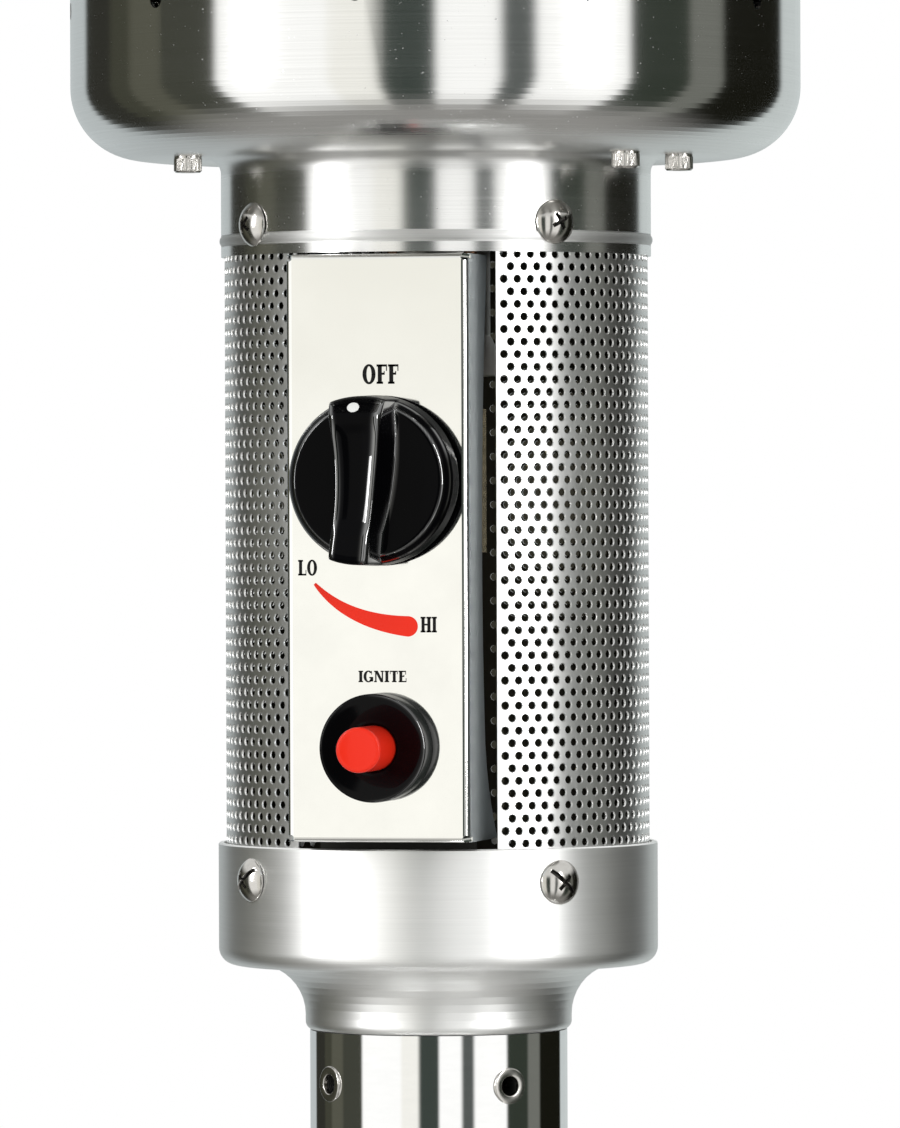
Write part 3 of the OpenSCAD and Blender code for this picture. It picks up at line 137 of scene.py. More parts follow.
class Board:
    """The node tree of one material or of the world."""

    def __init__(self, owner: bpy.types.Material | bpy.types.World) -> None:
        """Empties the tree of a new material or world.

        Args:
            owner: the material or world.
        """
        owner.use_nodes = True
        self.owner = owner
        self.tree = owner.node_tree
        self.tree.nodes.clear()

    def node(
        self,
        kind: str,
        settings: dict[str, Any] | None = None,
        inputs: dict[int | str, Any] | None = None,
        out: int | str = 0,
    ) -> Wire | None:
        """Adds a node.

        Args:
            kind: the node's type.
            settings: its settings, set first; "stops" are a ramp's (place, colour) pairs.
            inputs: the values or links of its sockets.
            out: the output that is wanted.

        Returns:
            That output, or None for a node that has none.
        """
        made = self.tree.nodes.new(kind)
        for key, value in (settings or {}).items():
            if key == "stops":
                self._stops(made.color_ramp, value)
            else:
                setattr(made, key, value)
        for key, value in (inputs or {}).items():
            if isinstance(value, Wire):
                self.tree.links.new(value.socket, made.inputs[key])
            else:
                made.inputs[key].default_value = value
        return Wire(self, made.outputs[out]) if len(made.outputs) else None

    @staticmethod
    def _stops(ramp: bpy.types.ColorRamp, stops: list[tuple[float, Colour]]) -> None:
        """Sets a colour ramp's stops.

        Args:
            ramp: the colour ramp.
            stops: a place and a colour for each stop.
        """
        while len(ramp.elements) < len(stops):
            ramp.elements.new(1.0)
        for element, (place, colour) in zip(ramp.elements, stops):
            element.position = place
            element.color = (*colour, 1.0)

    def blend(self, share: Wire, first: Wire | Colour, second: Wire | Colour) -> Wire:
        """A colour between two, through a Mix node.

        Args:
            share: 0 gives the first and 1 the second.
            first: the first colour.
            second: the second colour.

        Returns:
            The mixed colour.
        """
        colours = [c if isinstance(c, Wire) else (*c, 1.0) for c in (first, second)]
        inputs = {0: share, 6: colours[0], 7: colours[1]}
        return self.node("ShaderNodeMix", {"data_type": "RGBA"}, inputs, out=2)

    def place(self, scale: Triple = (1.0, 1.0, 1.0)) -> Wire:
        """The point on the piece in metres, stretched by a scale along each axis."""
        spot = self.node("ShaderNodeTexCoord", out="Object")
        return self.node("ShaderNodeMapping", {"vector_type": "POINT"}, {"Vector": spot, "Scale": scale})

    def axis(self, which: int) -> Wire:
        """One coordinate of the point on the piece: 0 is x, 1 is y and 2 is z."""
        return self.node("ShaderNodeSeparateXYZ", None, {0: self.place()}, out=which)

    def length(self, scale: Triple = (1.0, 1.0, 1.0)) -> Wire:
        """The distance of the point on the piece from the origin, stretched by a scale along each axis."""
        return self.node("ShaderNodeVectorMath", {"operation": "LENGTH"}, {0: self.place(scale)}, out=1)

    def weight(self, name: str) -> Wire:
        """The weight that a piece stores under a name; 0 on a piece that stores none."""
        return self.node("ShaderNodeAttribute", {"attribute_name": name}, out="Fac")

    def noise(self, scale: Triple, detail: float, roughness: float = 0.5) -> Wire:
        """Smooth noise between 0 and 1, with its own grain along each axis.

        Args:
            scale: spots per metre along x, y and z.
            detail: octaves of finer noise.
            roughness: weight of the finer octaves.

        Returns:
            The noise value.
        """
        inputs = {"Vector": self.place(scale), "Scale": 1.0, "Detail": detail, "Roughness": roughness}
        return self.node("ShaderNodeTexNoise", None, inputs, out=0)

    def bump(self, height: Wire, depth: float) -> Wire:
        """A normal that follows a height between 0 and 1, depth metres deep."""
        return self.node("ShaderNodeBump", None, {"Strength": 1.0, "Distance": depth, "Height": height})

    def skin(self, inputs: dict[str, Any]) -> bpy.types.Material:
        """Ends a material with a Principled shader of these inputs.

        Args:
            inputs: values or links of the shader's sockets.

        Returns:
            The material.
        """
        shader = self.node("ShaderNodeBsdfPrincipled", None, inputs)
        self.node("ShaderNodeOutputMaterial", None, {"Surface": shader})
        return self.owner


# Finishes


@dataclass(frozen=True)
class Metal:
    """Bare metal with brush lines, duller clouds and fine nicks.

    The last fields change it by place, in metres: a painted reflection on its sides, a painted shade on its
    top or its inside, a painted shade where a piece stores that weight, and bands below a height, each with a
    span and a change of roughness.
    """

    name: str
    tint: Colour
    roughness: float
    grain: Triple
    grain_depth: float = 2.0e-6
    grain_gloss: float = 0.08
    grain_dark: float = 0.10
    cloud_gloss: float = 0.06
    cloud_scale: float = 30.0
    nicks: float = 0.0
    nick_grain: Triple = (900.0, 900.0, 1400.0)
    nick_span: tuple[float, float] = (0.74, 0.80)
    nick_depth: float = 2.0
    nick_dull: float = 0.25
    nick_tint: Colour = (0.95, 0.95, 0.95)
    stretch: float = 0.0
    dulled: tuple[Triple, ...] = ()
    side_shade: Colour | None = None
    side_from: float = 0.0
    side_middle: float = 0.0
    side_dull: float = 0.30
    side_edge: float = 0.0002
    top_shade: Colour | None = None
    top_span: tuple[float, float] = (0.0, 1.0)
    top_stray: float = 0.12
    inner_shade: Colour | None = None
    inner_radius: float = 0.0
    inner_below: float = 1.0
    inner_dull: float = 0.25
    inner_edge: float = 0.0001
    recess_shade: Colour | None = None
    recess_shade_dull: float = 0.40

    def material(self) -> bpy.types.Material:
        """Makes the material.

        Returns:
            A Principled metal whose colour, gloss and normal follow its grain, its clouds and its zones.
        """
        board = Board(bpy.data.materials.new(self.name))
        grain = board.noise(self.grain, detail=3.0, roughness=0.6)
        cloud = board.noise((self.cloud_scale,) * 3, detail=3.0)
        dark = tuple(c * (1.0 - self.grain_dark) for c in self.tint)
        colour = board.blend((grain - 0.32) * 2.6, dark, self.tint)
        gloss = self.roughness + (grain - 0.5) * self.grain_gloss + (cloud - 0.5) * self.cloud_gloss
        colour, gloss = self._zones(board, cloud, colour, gloss)
        height = grain
        if self.nicks:
            nick = board.noise(self.nick_grain, detail=1.0).step(*self.nick_span)
            height = grain - nick * self.nick_depth
            gloss = gloss + nick * self.nick_dull
            colour = board.blend(nick * self.nicks, colour, self.nick_tint)
        return board.skin({
            "Base Color": colour,
            "Metallic": 1.0,
            "Roughness": gloss.clamp(),
            "Normal": board.bump(height, self.grain_depth),
            "Anisotropic": self.stretch,
            "Anisotropic Rotation": 0.25,
        })

    def _zones(self, board: Board, cloud: Wire, colour: Wire, gloss: Wire) -> tuple[Wire, Wire]:
        """Colour and gloss after the changes by place: painted shade, a painted reflection and duller or
        brighter bands.

        Args:
            board: the material's board.
            cloud: the noise that makes the edge of the painted shade at the top stray.
            colour: the colour before the changes.
            gloss: the roughness before them.

        Returns:
            The changed colour and roughness.
        """
        zones: list[tuple[Wire, Colour, float]] = []
        # A painted shade: darker and creamier towards the top.
        if self.top_shade:
            level = board.axis(2) + (cloud - 0.5) * self.top_stray
            colour = board.blend(level.step(*self.top_span), colour, self.top_shade)
        # A painted reflection: darker blue-grey on the sides, beyond side_from from the middle.
        if self.side_shade:
            aside = board.axis(0) - self.side_middle
            span = self.side_from - self.side_edge, self.side_from + self.side_edge
            zones.append((aside.maths("ABSOLUTE", aside).step(*span), self.side_shade, self.side_dull))
        # A painted shade: near black inside a radius and below a height, where parts lie in the dark.
        if self.inner_shade:
            reach = board.length((1.0, 1.0, 0.0))
            inside = reach.step(self.inner_radius + self.inner_edge, self.inner_radius - self.inner_edge)
            inside = inside * board.axis(2).step(self.inner_below + MM, self.inner_below)
            zones.append((inside, self.inner_shade, self.inner_dull))
        # A painted shade where a piece stores that weight, in the screws' recesses.
        if self.recess_shade:
            zones.append((board.weight("recess_shade"), self.recess_shade, self.recess_shade_dull))
        for share, tint, dull in zones:
            colour = board.blend(share, colour, tint)
            gloss = gloss + share * dull
        for high, span, change in self.dulled:
            gloss = gloss + board.axis(2).step(high, high - span) * change
        return colour, gloss


@dataclass(frozen=True)
class HeatedMetal:
    """Stainless sheet that flame has tinted, by height and in clouds, through straw, brown and blue."""

    name: str
    tint: Colour
    roughness: float
    low: float
    high: float
    cloud_scale: Triple = (18.0, 18.0, 26.0)
    cloud_heat: float = 0.9
    cloud_gloss: float = 0.15
    grain: Triple = (60.0, 60.0, 1200.0)
    grain_depth: float = 3.0e-6
    grain_gloss: float = 0.12
    straw: Colour = (0.52, 0.42, 0.26)
    brown: Colour = (0.36, 0.26, 0.22)
    blue: Colour = (0.22, 0.24, 0.32)
    pale_straw: Colour = (0.46, 0.40, 0.30)

    def material(self) -> bpy.types.Material:
        """Makes the material.

        Returns:
            A metal whose tint changes with height and in clouds.
        """
        board = Board(bpy.data.materials.new(self.name))
        cloud = board.noise(self.cloud_scale, detail=4.0, roughness=0.6)
        up = (board.axis(2) - self.low) / (self.high - self.low)
        heat = (up + (cloud - 0.5) * self.cloud_heat).clamp()
        stops = [
            (0.0, self.tint),
            (0.30, self.straw),
            (0.50, self.brown),
            (0.68, self.blue),
            (0.85, self.pale_straw),
            (1.0, self.tint),
        ]
        grain = board.noise(self.grain, detail=2.0)
        gloss = self.roughness + (grain - 0.5) * self.grain_gloss + (cloud - 0.5) * self.cloud_gloss
        return board.skin({
            "Base Color": board.node("ShaderNodeValToRGB", {"stops": stops}, {0: heat}),
            "Metallic": 1.0,
            "Roughness": gloss.clamp(),
            "Normal": board.bump(grain, self.grain_depth),
        })


@dataclass(frozen=True)
class Moulding:
    """Plastic, rubber, paint, ceramic or ink: a coloured body under a smooth or grained skin."""

    name: str
    tint: Colour
    roughness: float
    shade: float = 0.3
    scale: float = 220.0
    depth: float = 1.0e-6
    gloss_change: float = 0.05
    ior: float = 1.45
    cloud_size: float = 9.0
    cloud_span: tuple[float, float] = (0.3, 0.7)
    coat: float = 0.0
    coat_ior: float = 1.5
    coat_roughness: float = 0.04

    def material(self) -> bpy.types.Material:
        """Makes the material.

        Returns:
            A Principled dielectric with faint changes of colour, gloss and surface.
        """
        board = Board(bpy.data.materials.new(self.name))
        fine = board.noise((self.scale,) * 3, detail=4.0, roughness=0.6)
        cloud = board.noise((self.scale / self.cloud_size,) * 3, detail=2.0)
        dark = tuple(c * (1.0 - self.shade) for c in self.tint)
        gloss = self.roughness + (cloud - 0.5) * self.gloss_change + (fine - 0.5) * self.gloss_change
        return board.skin({
            "Base Color": board.blend(cloud.step(*self.cloud_span), dark, self.tint),
            "Roughness": gloss.clamp(),
            "Normal": board.bump(fine, self.depth),
            "IOR": self.ior,
            "Coat Weight": self.polish(board),
            "Coat Roughness": self.coat_roughness,
            "Coat IOR": self.coat_ior,
        })

    def polish(self, board: Board) -> Wire | float:
        """Weight of the glossy coat, the same all over."""
        return self.coat


@dataclass(frozen=True)
class ControlGloss(Moulding):
    """Black moulding of the controls, polished where a piece stores a shine, and a little on the bezel."""

    bezel_below: float = 0.42
    bezel_coat: float = 0.03

    def polish(self, board: Board) -> Wire:
        """Weight of the coat: the piece's shine, and an even one below the height of the knob."""
        low = board.axis(2).step(self.bezel_below, self.bezel_below - 2 * MM)
        return (board.weight("shine") + low * self.bezel_coat).clamp()


ROUND_BRUSH = (14.0, 14.0, 3000.0)
WORN = {
    "grain_depth": 3.0e-6, "grain_gloss": 0.10, "grain_dark": 0.15, "cloud_gloss": 0.08, "cloud_scale": 60.0,
}
# Duller and brighter bands of drum and collar: each one's height, span and change of roughness
DRUM_UNDERSIDE, COLLAR, BEAD = (0.566, 0.010, 0.20), (0.553, 0.003, -0.11), (0.534, 0.0003, 0.38)
BELOW_BEAD = (0.5306, 0.0003, -0.38)
FINISHES: dict[str, Metal | HeatedMetal | Moulding] = {
    f.name: f
    for f in (
        Metal(
            "brushed_steel", (0.88, 0.88, 0.87), 0.14, ROUND_BRUSH, grain_gloss=0.05, grain_dark=0.08,
            cloud_gloss=0.03, nicks=0.3, stretch=0.8, dulled=(DRUM_UNDERSIDE, COLLAR, BEAD, BELOW_BEAD),
        ),
        Metal(
            "polished_steel", (0.90, 0.90, 0.90), 0.06, (120.0, 120.0, 500.0), grain_depth=0.4e-6,
            grain_gloss=0.02, grain_dark=0.03, cloud_gloss=0.03,
        ),
        Metal(
            "satin_aluminium", (0.94, 0.94, 0.93), 0.43, (26.0, 26.0, 3200.0), grain_dark=0.05,
            cloud_gloss=0.08, stretch=0.3,
        ),
        Metal(
            "wrap_steel", (0.90, 0.90, 0.89), 0.32, (240.0, 240.0, 60.0), grain_depth=1.0e-6,
            grain_gloss=0.06, grain_dark=0.06, cloud_gloss=0.08,
            # A painted shade, near black, on the wrap's inside, which lies in the dark.
            inner_shade=(0.035, 0.032, 0.024), inner_radius=0.0621,
        ),
        Metal(
            "panel_steel", (0.985, 0.985, 0.965), 0.06, (60.0,) * 3, grain_depth=0.3e-6, grain_gloss=0.03,
            grain_dark=0.05, cloud_gloss=0.04, cloud_scale=24.0,
            # A painted reflection, darker blue-grey, on the side flanges, and a painted shade, darker and
            # creamier, towards the top.
            side_shade=(0.40, 0.44, 0.46), side_from=0.0264, side_middle=-0.0006,
            top_shade=(0.855, 0.852, 0.82), top_span=(0.43, 0.54),
        ),
        Metal(
            "screw_steel", (0.64, 0.62, 0.59), 0.15, (700.0,) * 3, grain_depth=1.0e-6, grain_gloss=0.06,
            # A painted shade on the parts inside the post, and in the screws' recesses.
            grain_dark=0.08, cloud_scale=200.0, inner_shade=(0.03, 0.03, 0.028), inner_radius=0.0374,
            recess_shade=(0.035, 0.033, 0.030),
        ),
        Metal(
            "zinc_steel", (0.62, 0.63, 0.64), 0.38, (400.0,) * 3, grain_depth=4.0e-6, grain_gloss=0.14,
            grain_dark=0.15, cloud_gloss=0.10, cloud_scale=60.0,
            # A painted shade on the zinc parts inside the head below the drum, which lie in the dark.
            inner_shade=(0.05, 0.05, 0.046), inner_radius=0.085, inner_below=0.55,
        ),
        Metal("brass", (0.72, 0.52, 0.22), 0.24, (500.0,) * 3, **WORN),
        # The copper's tint is darkened: a painted shade for the tubes inside the head.
        Metal("copper", (0.34, 0.19, 0.12), 0.42, (400.0,) * 3, **WORN),
        Metal(
            "reflector_aluminium", (0.83, 0.83, 0.82), 0.22, (40.0,) * 3, grain_depth=3.0e-6,
            grain_dark=0.05, cloud_gloss=0.08, stretch=0.5,
        ),
        HeatedMetal("heat_steel", (0.62, 0.60, 0.56), 0.34, low=0.64, high=0.80),
        ControlGloss(
            "black_gloss", (0.0015, 0.0015, 0.002), 0.25, scale=160.0, depth=0.3e-6, gloss_change=0.04,
            ior=1.08, coat_ior=2.9,
        ),
        Moulding(
            "black_plastic", (0.004, 0.004, 0.004), 0.42, scale=700.0, depth=2.0e-6, gloss_change=0.08,
            ior=1.28,
        ),
        Moulding("black_paint", (0.02, 0.02, 0.021), 0.42, scale=900.0, depth=9.0e-6, gloss_change=0.10),
        Moulding(
            "rubber", (0.018, 0.018, 0.018), 0.72, shade=0.35, scale=1400.0, depth=20.0e-6,
            gloss_change=0.12,
        ),
        Moulding("red_gloss", (0.84, 0.026, 0.009), 0.24, shade=0.08, scale=240.0, ior=1.28, coat=0.12),
        Moulding("white_mark", (0.88, 0.88, 0.86), 0.40, shade=0.06, scale=900.0, depth=2.0e-6),
        Moulding(
            "white_ceramic", (0.80, 0.78, 0.72), 0.28, shade=0.10, scale=300.0, depth=3.0e-6,
            gloss_change=0.08, ior=1.5, coat=0.3,
        ),
    )
}


class Paints:
    """The materials, each made once."""

    def __init__(self) -> None:
        """Starts with none made."""
        self.made: dict[str, bpy.types.Material] = {}

    def get(self, slot: str) -> bpy.types.Material:
        """The material of a slot.

        Args:
            slot: name of the finish.

        Returns:
            The material, made at its first use.
        """
        if slot not in self.made:
            self.made[slot] = FINISHES[slot].material()
        return self.made[slot]

    def dress(self, obj: bpy.types.Object, slot: str) -> None:
        """Gives every material slot of an object one finish."""
        obj.data.materials.clear()
        obj.data.materials.append(self.get(slot))


PAINTS = Paints()


# Surfaces


def arc(x: float, y: float, r: float, start: float, end: float, steps: int) -> Array:
    """Points on a circle about (x, y), at angles from start to end in degrees.

    Args:
        x: first coordinate of the centre.
        y: second coordinate of the centre.
        r: radius.
        start: first angle.
        end: last angle.
        steps: number of chords.

    Returns:
        An array of steps + 1 points.
    """
    angle = np.radians(np.linspace(start, end, steps + 1))
    return np.stack([x + r * np.cos(angle), y + r * np.sin(angle)], axis=1)


def smooth(t: Array) -> Array:
    """A smooth S from 0 to 1, held at its ends."""
    t = np.clip(t, 0.0, 1.0)
    return t * t * (3.0 - 2.0 * t)


def ramp(t: Array, soft: float) -> Array:
    """The larger of t and 0 with its corner rounded: (t + sqrt(t^2 + soft)) / 2."""
    return 0.5 * (t + np.sqrt(t**2 + soft))


def rod(line: Array, first: Array, second: Array, radius: float, sides: int) -> Array:
    """Rings of points round a line, with its ends closed to points.

    A ring's point at angle a is line + radius (first cos a + second sin a).

    Args:
        line: the points of the line.
        first: a unit vector square to the line at each point.
        second: the unit vector square to both.
        radius: radius of the rings.
        sides: points of a ring.

    Returns:
        The rings, as rows x sides x 3.
    """
    turn = np.radians(np.arange(sides) * 360.0 / sides)[None, :, None]
    rings = line[:, None] + radius * (first[:, None] * np.cos(turn) + second[:, None] * np.sin(turn))
    return np.concatenate([np.repeat(line[:1, None], sides, 1), rings, np.repeat(line[-1:, None], sides, 1)])


@dataclass(frozen=True)
class Place:
    """A local frame in millimetres: where its origin is and where its x, y and z point."""

    origin: Triple
    x: Triple
    y: Triple
    z: Triple

    @classmethod
    def facing(cls, depth: float, height: float, across: float = 0.0) -> "Place":
        """On a plane that faces the front: x is right, y is up and z comes forward."""
        return cls((across, -depth, height), (1, 0, 0), (0, 0, 1), (0, -1, 0))

    @classmethod
    def radial(cls, angle: float, radius: float, height: float) -> "Place":
        """On a cylinder round the axis: y is up and z points outwards."""
        s, c = math.sin(math.radians(angle)), math.cos(math.radians(angle))
        return cls((radius * s, -radius * c, height), (c, s, 0), (0, 0, 1), (s, -c, 0))

    @classmethod
    def under(cls, angle: float, radius: float, height: float) -> "Place":
        """Beneath a level face: z points down."""
        s, c = math.sin(math.radians(angle)), math.cos(math.radians(angle))
        return cls((radius * s, -radius * c, height), (1, 0, 0), (0, -1, 0), (0, 0, -1))

    @classmethod
    def level(cls, height: float) -> "Place":
        """On the axis, upright."""
        return cls((0, 0, height), (1, 0, 0), (0, 1, 0), (0, 0, 1))

    def spun(self, turn: float) -> "Place":
        """The frame turned about its z by an angle in degrees.

        Args:
            turn: the angle, from x towards y.

        Returns:
            The turned frame.
        """
        c, s = math.cos(math.radians(turn)), math.sin(math.radians(turn))
        x, y = np.array([[c, s], [-s, c]]) @ np.array([self.x, self.y], float)
        return Place(self.origin, tuple(x), tuple(y), self.z)

    def back(self, points: Array) -> Array:
        """Points of the frame in metres as local points in millimetres."""
        return (points / MM - np.array(self.origin, float)) @ np.array([self.x, self.y, self.z], float).T

    def put(self, points: Array) -> Array:
        """Local points in millimetres as points of the frame in metres."""
        axes = np.array([self.x, self.y, self.z], float)
        return (np.asarray(points, float) @ axes + np.array(self.origin, float)) * MM


@dataclass
class Shell:
    """Patches of a surface, gathered as whole arrays and welded where they meet."""

    points: list[Array] = field(default_factory=list)
    faces: list[Array] = field(default_factory=list)
    count: int = 0

    def patch(self, points: Array, faces: Array) -> "Shell":
        """Adds points in metres, and faces of four corners that count from the patch's first point.

        Args:
            points: the points, in any shape that ends in 3.
            faces: the corners' numbers, in any shape that ends in 4.

        Returns:
            The shell.
        """
        points = np.asarray(points, float).reshape(-1, 3)
        self.points.append(points)
        self.faces.append(np.asarray(faces, int).reshape(-1, 4) + self.count)
        self.count += len(points)
        return self

    @staticmethod
    def quads(index: Array) -> Array:
        """The four corners of each square of a grid of point numbers."""
        return np.stack([index[:-1, :-1], index[:-1, 1:], index[1:, 1:], index[1:, :-1]], axis=-1)

    def grid(self, points: Array, loop: bool = False) -> "Shell":
        """Adds a grid of quads.

        Args:
            points: array of rows x columns x 3, in metres.
            loop: joins the last column to the first.

        Returns:
            The shell.
        """
        rows, columns = points.shape[:2]
        index = np.arange(rows * columns).reshape(rows, columns)
        if loop:
            index = np.concatenate([index, index[:, :1]], axis=1)
        return self.patch(points, self.quads(index))

    def turned(self, profile: Array, place: Place, sides: int) -> "Shell":
        """Adds a profile of (radius, height) points turned about the local z axis.

        The point at angle a is (radius cos a, radius sin a, height); a point of radius 0 is a pole.

        Args:
            profile: the points, in millimetres.
            place: the frame whose z is the axis.
            sides: points round the axis.

        Returns:
            The shell.
        """
        profile = np.asarray(profile, float)
        angle = np.arange(sides) * 2.0 * np.pi / sides
        rim = np.stack([np.cos(angle), np.sin(angle), np.zeros(sides)], axis=1)
        points = profile[:, None, :1] * rim[None]
        points[:, :, 2] = profile[:, 1:2]
        return self.grid(place.put(points), loop=True)

    @staticmethod
    def mark(obj: bpy.types.Object, name: str, places: list[Place], weight: Callable[..., Array]) -> None:
        """Stores a weight at each point of a piece, for its finish to read.

        Args:
            obj: the piece.
            name: name of the attribute.
            places: the frames in which the weights are given; they add up.
            weight: gives the weight at local x, y and z in millimetres.
        """
        spots = np.empty(3 * len(obj.data.vertices))
        obj.data.vertices.foreach_get("co", spots)
        weights = sum(weight(*place.back(spots.reshape(-1, 3)).T) for place in places)
        obj.data.attributes.new(name, "FLOAT", "POINT").data.foreach_set("value", weights)

    def _welded(self) -> tuple[list, list]:
        """Points and faces with near points joined; a quad with two corners in one place is a triangle.

        Returns:
            The points and the faces, as lists for the mesh.
        """
        points, faces = np.concatenate(self.points), np.concatenate(self.faces)
        keys = np.round(points / WELD).astype(np.int64)
        _, first, same = np.unique(keys, axis=0, return_index=True, return_inverse=True)
        faces = same.reshape(-1)[faces]
        corners = 1 + (np.diff(np.sort(faces, axis=1), axis=1) > 0).sum(axis=1)
        pinched = faces[corners == 3]
        twin = np.argmax(pinched == np.roll(pinched, -1, axis=1), axis=1)
        keep = (np.arange(3)[None] + twin[:, None] + 1) % 4
        triangles = np.take_along_axis(pinched, keep, axis=1).tolist()
        return points[first].tolist(), faces[corners == 4].tolist() + triangles

    def piece(
        self, name: str, body: Body, slot: str, replaces: tuple[str, ...] = (), sharp: float = 38.0
    ) -> bpy.types.Object:
        """Makes the object.

        Args:
            name: name of the piece.
            body: the body that it rides on.
            slot: its finish.
            replaces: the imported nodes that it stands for.
            sharp: edges that fold more than this many degrees are left sharp.

        Returns:
            The object, at the origin, with its place in its mesh.
        """
        points, faces = self._welded()
        mesh = bpy.data.meshes.new(name)
        mesh.from_pydata(points, [], faces)
        outward = bmesh.new()
        outward.from_mesh(mesh)
        bmesh.ops.recalc_face_normals(outward, faces=outward.faces)
        outward.to_mesh(mesh)
        outward.free()
        mesh.shade_smooth()
        mesh.set_sharp_from_angle(angle=math.radians(sharp))
        obj = bpy.data.objects.new(name, mesh)
        bpy.context.scene.collection.objects.link(obj)
        PAINTS.dress(obj, slot)
        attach(obj, body.value)
        if replaces:
            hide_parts(*replaces)
        LOG.info("%s: %d faces, %s on %s", name, len(mesh.polygons), slot, body.value)
        return obj


# Pierced sheets


@dataclass
class PiercedSheet:
    """A rolled sheet with round holes in rows, each row shifted by half a pitch.

    The share hug of the spare length lies at the sheet's start, and shift lifts the rows from the middle.
    """

    name: str
    node: str
    slot: str
    radius: float
    thickness: float
    start: float
    sweep: float
    low: float
    high: float
    pitch: float
    row: float
    hole: float
    side_margin: float
    end_margin: float
    shift: float = 0.0
    lip: float = 0.0
    lip_deep: float = 0.25
    hug: float = 0.5

    def build(self) -> bpy.types.Object:
        """Makes the sheet.

        Each hole's cell is 2 x 2 squares of a half-pitch lattice. Squares without a hole stay plain.

        Returns:
            The pierced sheet, front, back and hole walls.
        """
        length = self.radius * math.radians(self.sweep)
        closed = self.sweep >= 360.0
        columns = round(length / self.pitch) if closed else int((length - 2 * self.side_margin) / self.pitch)
        pitch = length / columns if closed else self.pitch
        rows = int((self.high - self.low - 2 * self.end_margin) / self.row)
        first = (length - columns * pitch) * self.hug
        lowest = (self.low + self.high - rows * self.row) / 2 + self.shift
        across = first + np.arange(2 * columns + 1) * pitch / 2
        up = np.concatenate([[self.low], lowest + np.arange(2 * rows + 1) * self.row / 2, [self.high]])
        if not closed:
            across = np.concatenate([[0.0], across, [length]])
        column, level = np.meshgrid(np.arange(columns), np.arange(rows))
        shift = level % 2
        wanted = (column < columns - shift).ravel()
        column = (2 * column + shift + 1).ravel()[wanted] + (0 if closed else 1)
        level = (2 * level + 1).ravel()[wanted] + 1
        covered = np.zeros((len(up) - 1, len(across) - 1), bool)
        for down, left in ((1, 1), (1, 0), (0, 1), (0, 0)):
            covered[level - down, column - left] = True
        shell = Shell()
        walls = (self.radius, self.radius - self.thickness)
        lattice = [self._roll(*np.meshgrid(across, up), r) for r in walls]
        squares = Shell.quads(np.arange(len(up) * len(across)).reshape(len(up), len(across)))[~covered]
        for sheet in lattice:
            shell.patch(sheet, squares)
        self._holes(shell, across, up, column, level)
        sides = [(slice(0, 1), slice(None)), (slice(-1, None), slice(None))]
        if not closed:
            sides += [(slice(None), slice(0, 1)), (slice(None), slice(-1, None))]
        for side in sides:
            shell.grid(np.stack([sheet[side].reshape(-1, 3) for sheet in lattice]))
        return shell.piece(self.name, Body.HEATER, self.slot, (self.node,))

    def _holes(self, shell: Shell, across: Array, up: Array, column: Array, level: Array) -> None:
        """Adds the cells round the holes.

        Eight quads join a cell's rim, its four corners and four midpoints, to eight points on the hole's
        circle, which has a sloping lip in front. The back is joined in the same way.

        Args:
            shell: the shell that they are added to.
            across: the lattice's places along the sheet.
            up: the lattice's heights.
            column: each hole's column in the lattice.
            level: each hole's row in the lattice.
        """
        front, back, hole = self.radius, self.radius - self.thickness, self.hole / 2
        steps = np.array([(1, 0), (1, 1), (0, 1), (-1, 1), (-1, 0), (-1, -1), (0, -1), (1, -1)])
        rim = across[column[:, None] + steps[:, 0]], up[level[:, None] + steps[:, 1]]
        middle = across[column][:, None], up[level][:, None]
        circles = [(hole + self.lip, front), (hole, front - self.lip_deep), (hole, back)]
        if not self.lip:
            del circles[1]
        angle = np.arange(8) * np.pi / 4
        rings = [self._roll(*rim, front)]
        for r, wall in circles:
            rings.append(self._roll(middle[0] + r * np.cos(angle), middle[1] + r * np.sin(angle), wall))
        rings.append(self._roll(*rim, back))
        k = np.arange(8)
        n = (k + 1) % 8
        band = np.stack([k, n, n + 8, k + 8], axis=1)
        template = np.concatenate([band + 8 * i for i in range(len(rings) - 1)])
        starts = np.arange(len(column)) * 8 * len(rings)
        shell.patch(np.stack(rings, axis=1), starts[:, None, None] + template[None])

    def _roll(self, along: Array, height: Array, radius: float) -> Array:
        """Points of the flat sheet wrapped round the axis at a radius, in metres."""
        angle = math.radians(self.start) + along / self.radius
        return np.stack([radius * np.sin(angle), -radius * np.cos(angle), height], axis=-1) * MM


# Controls


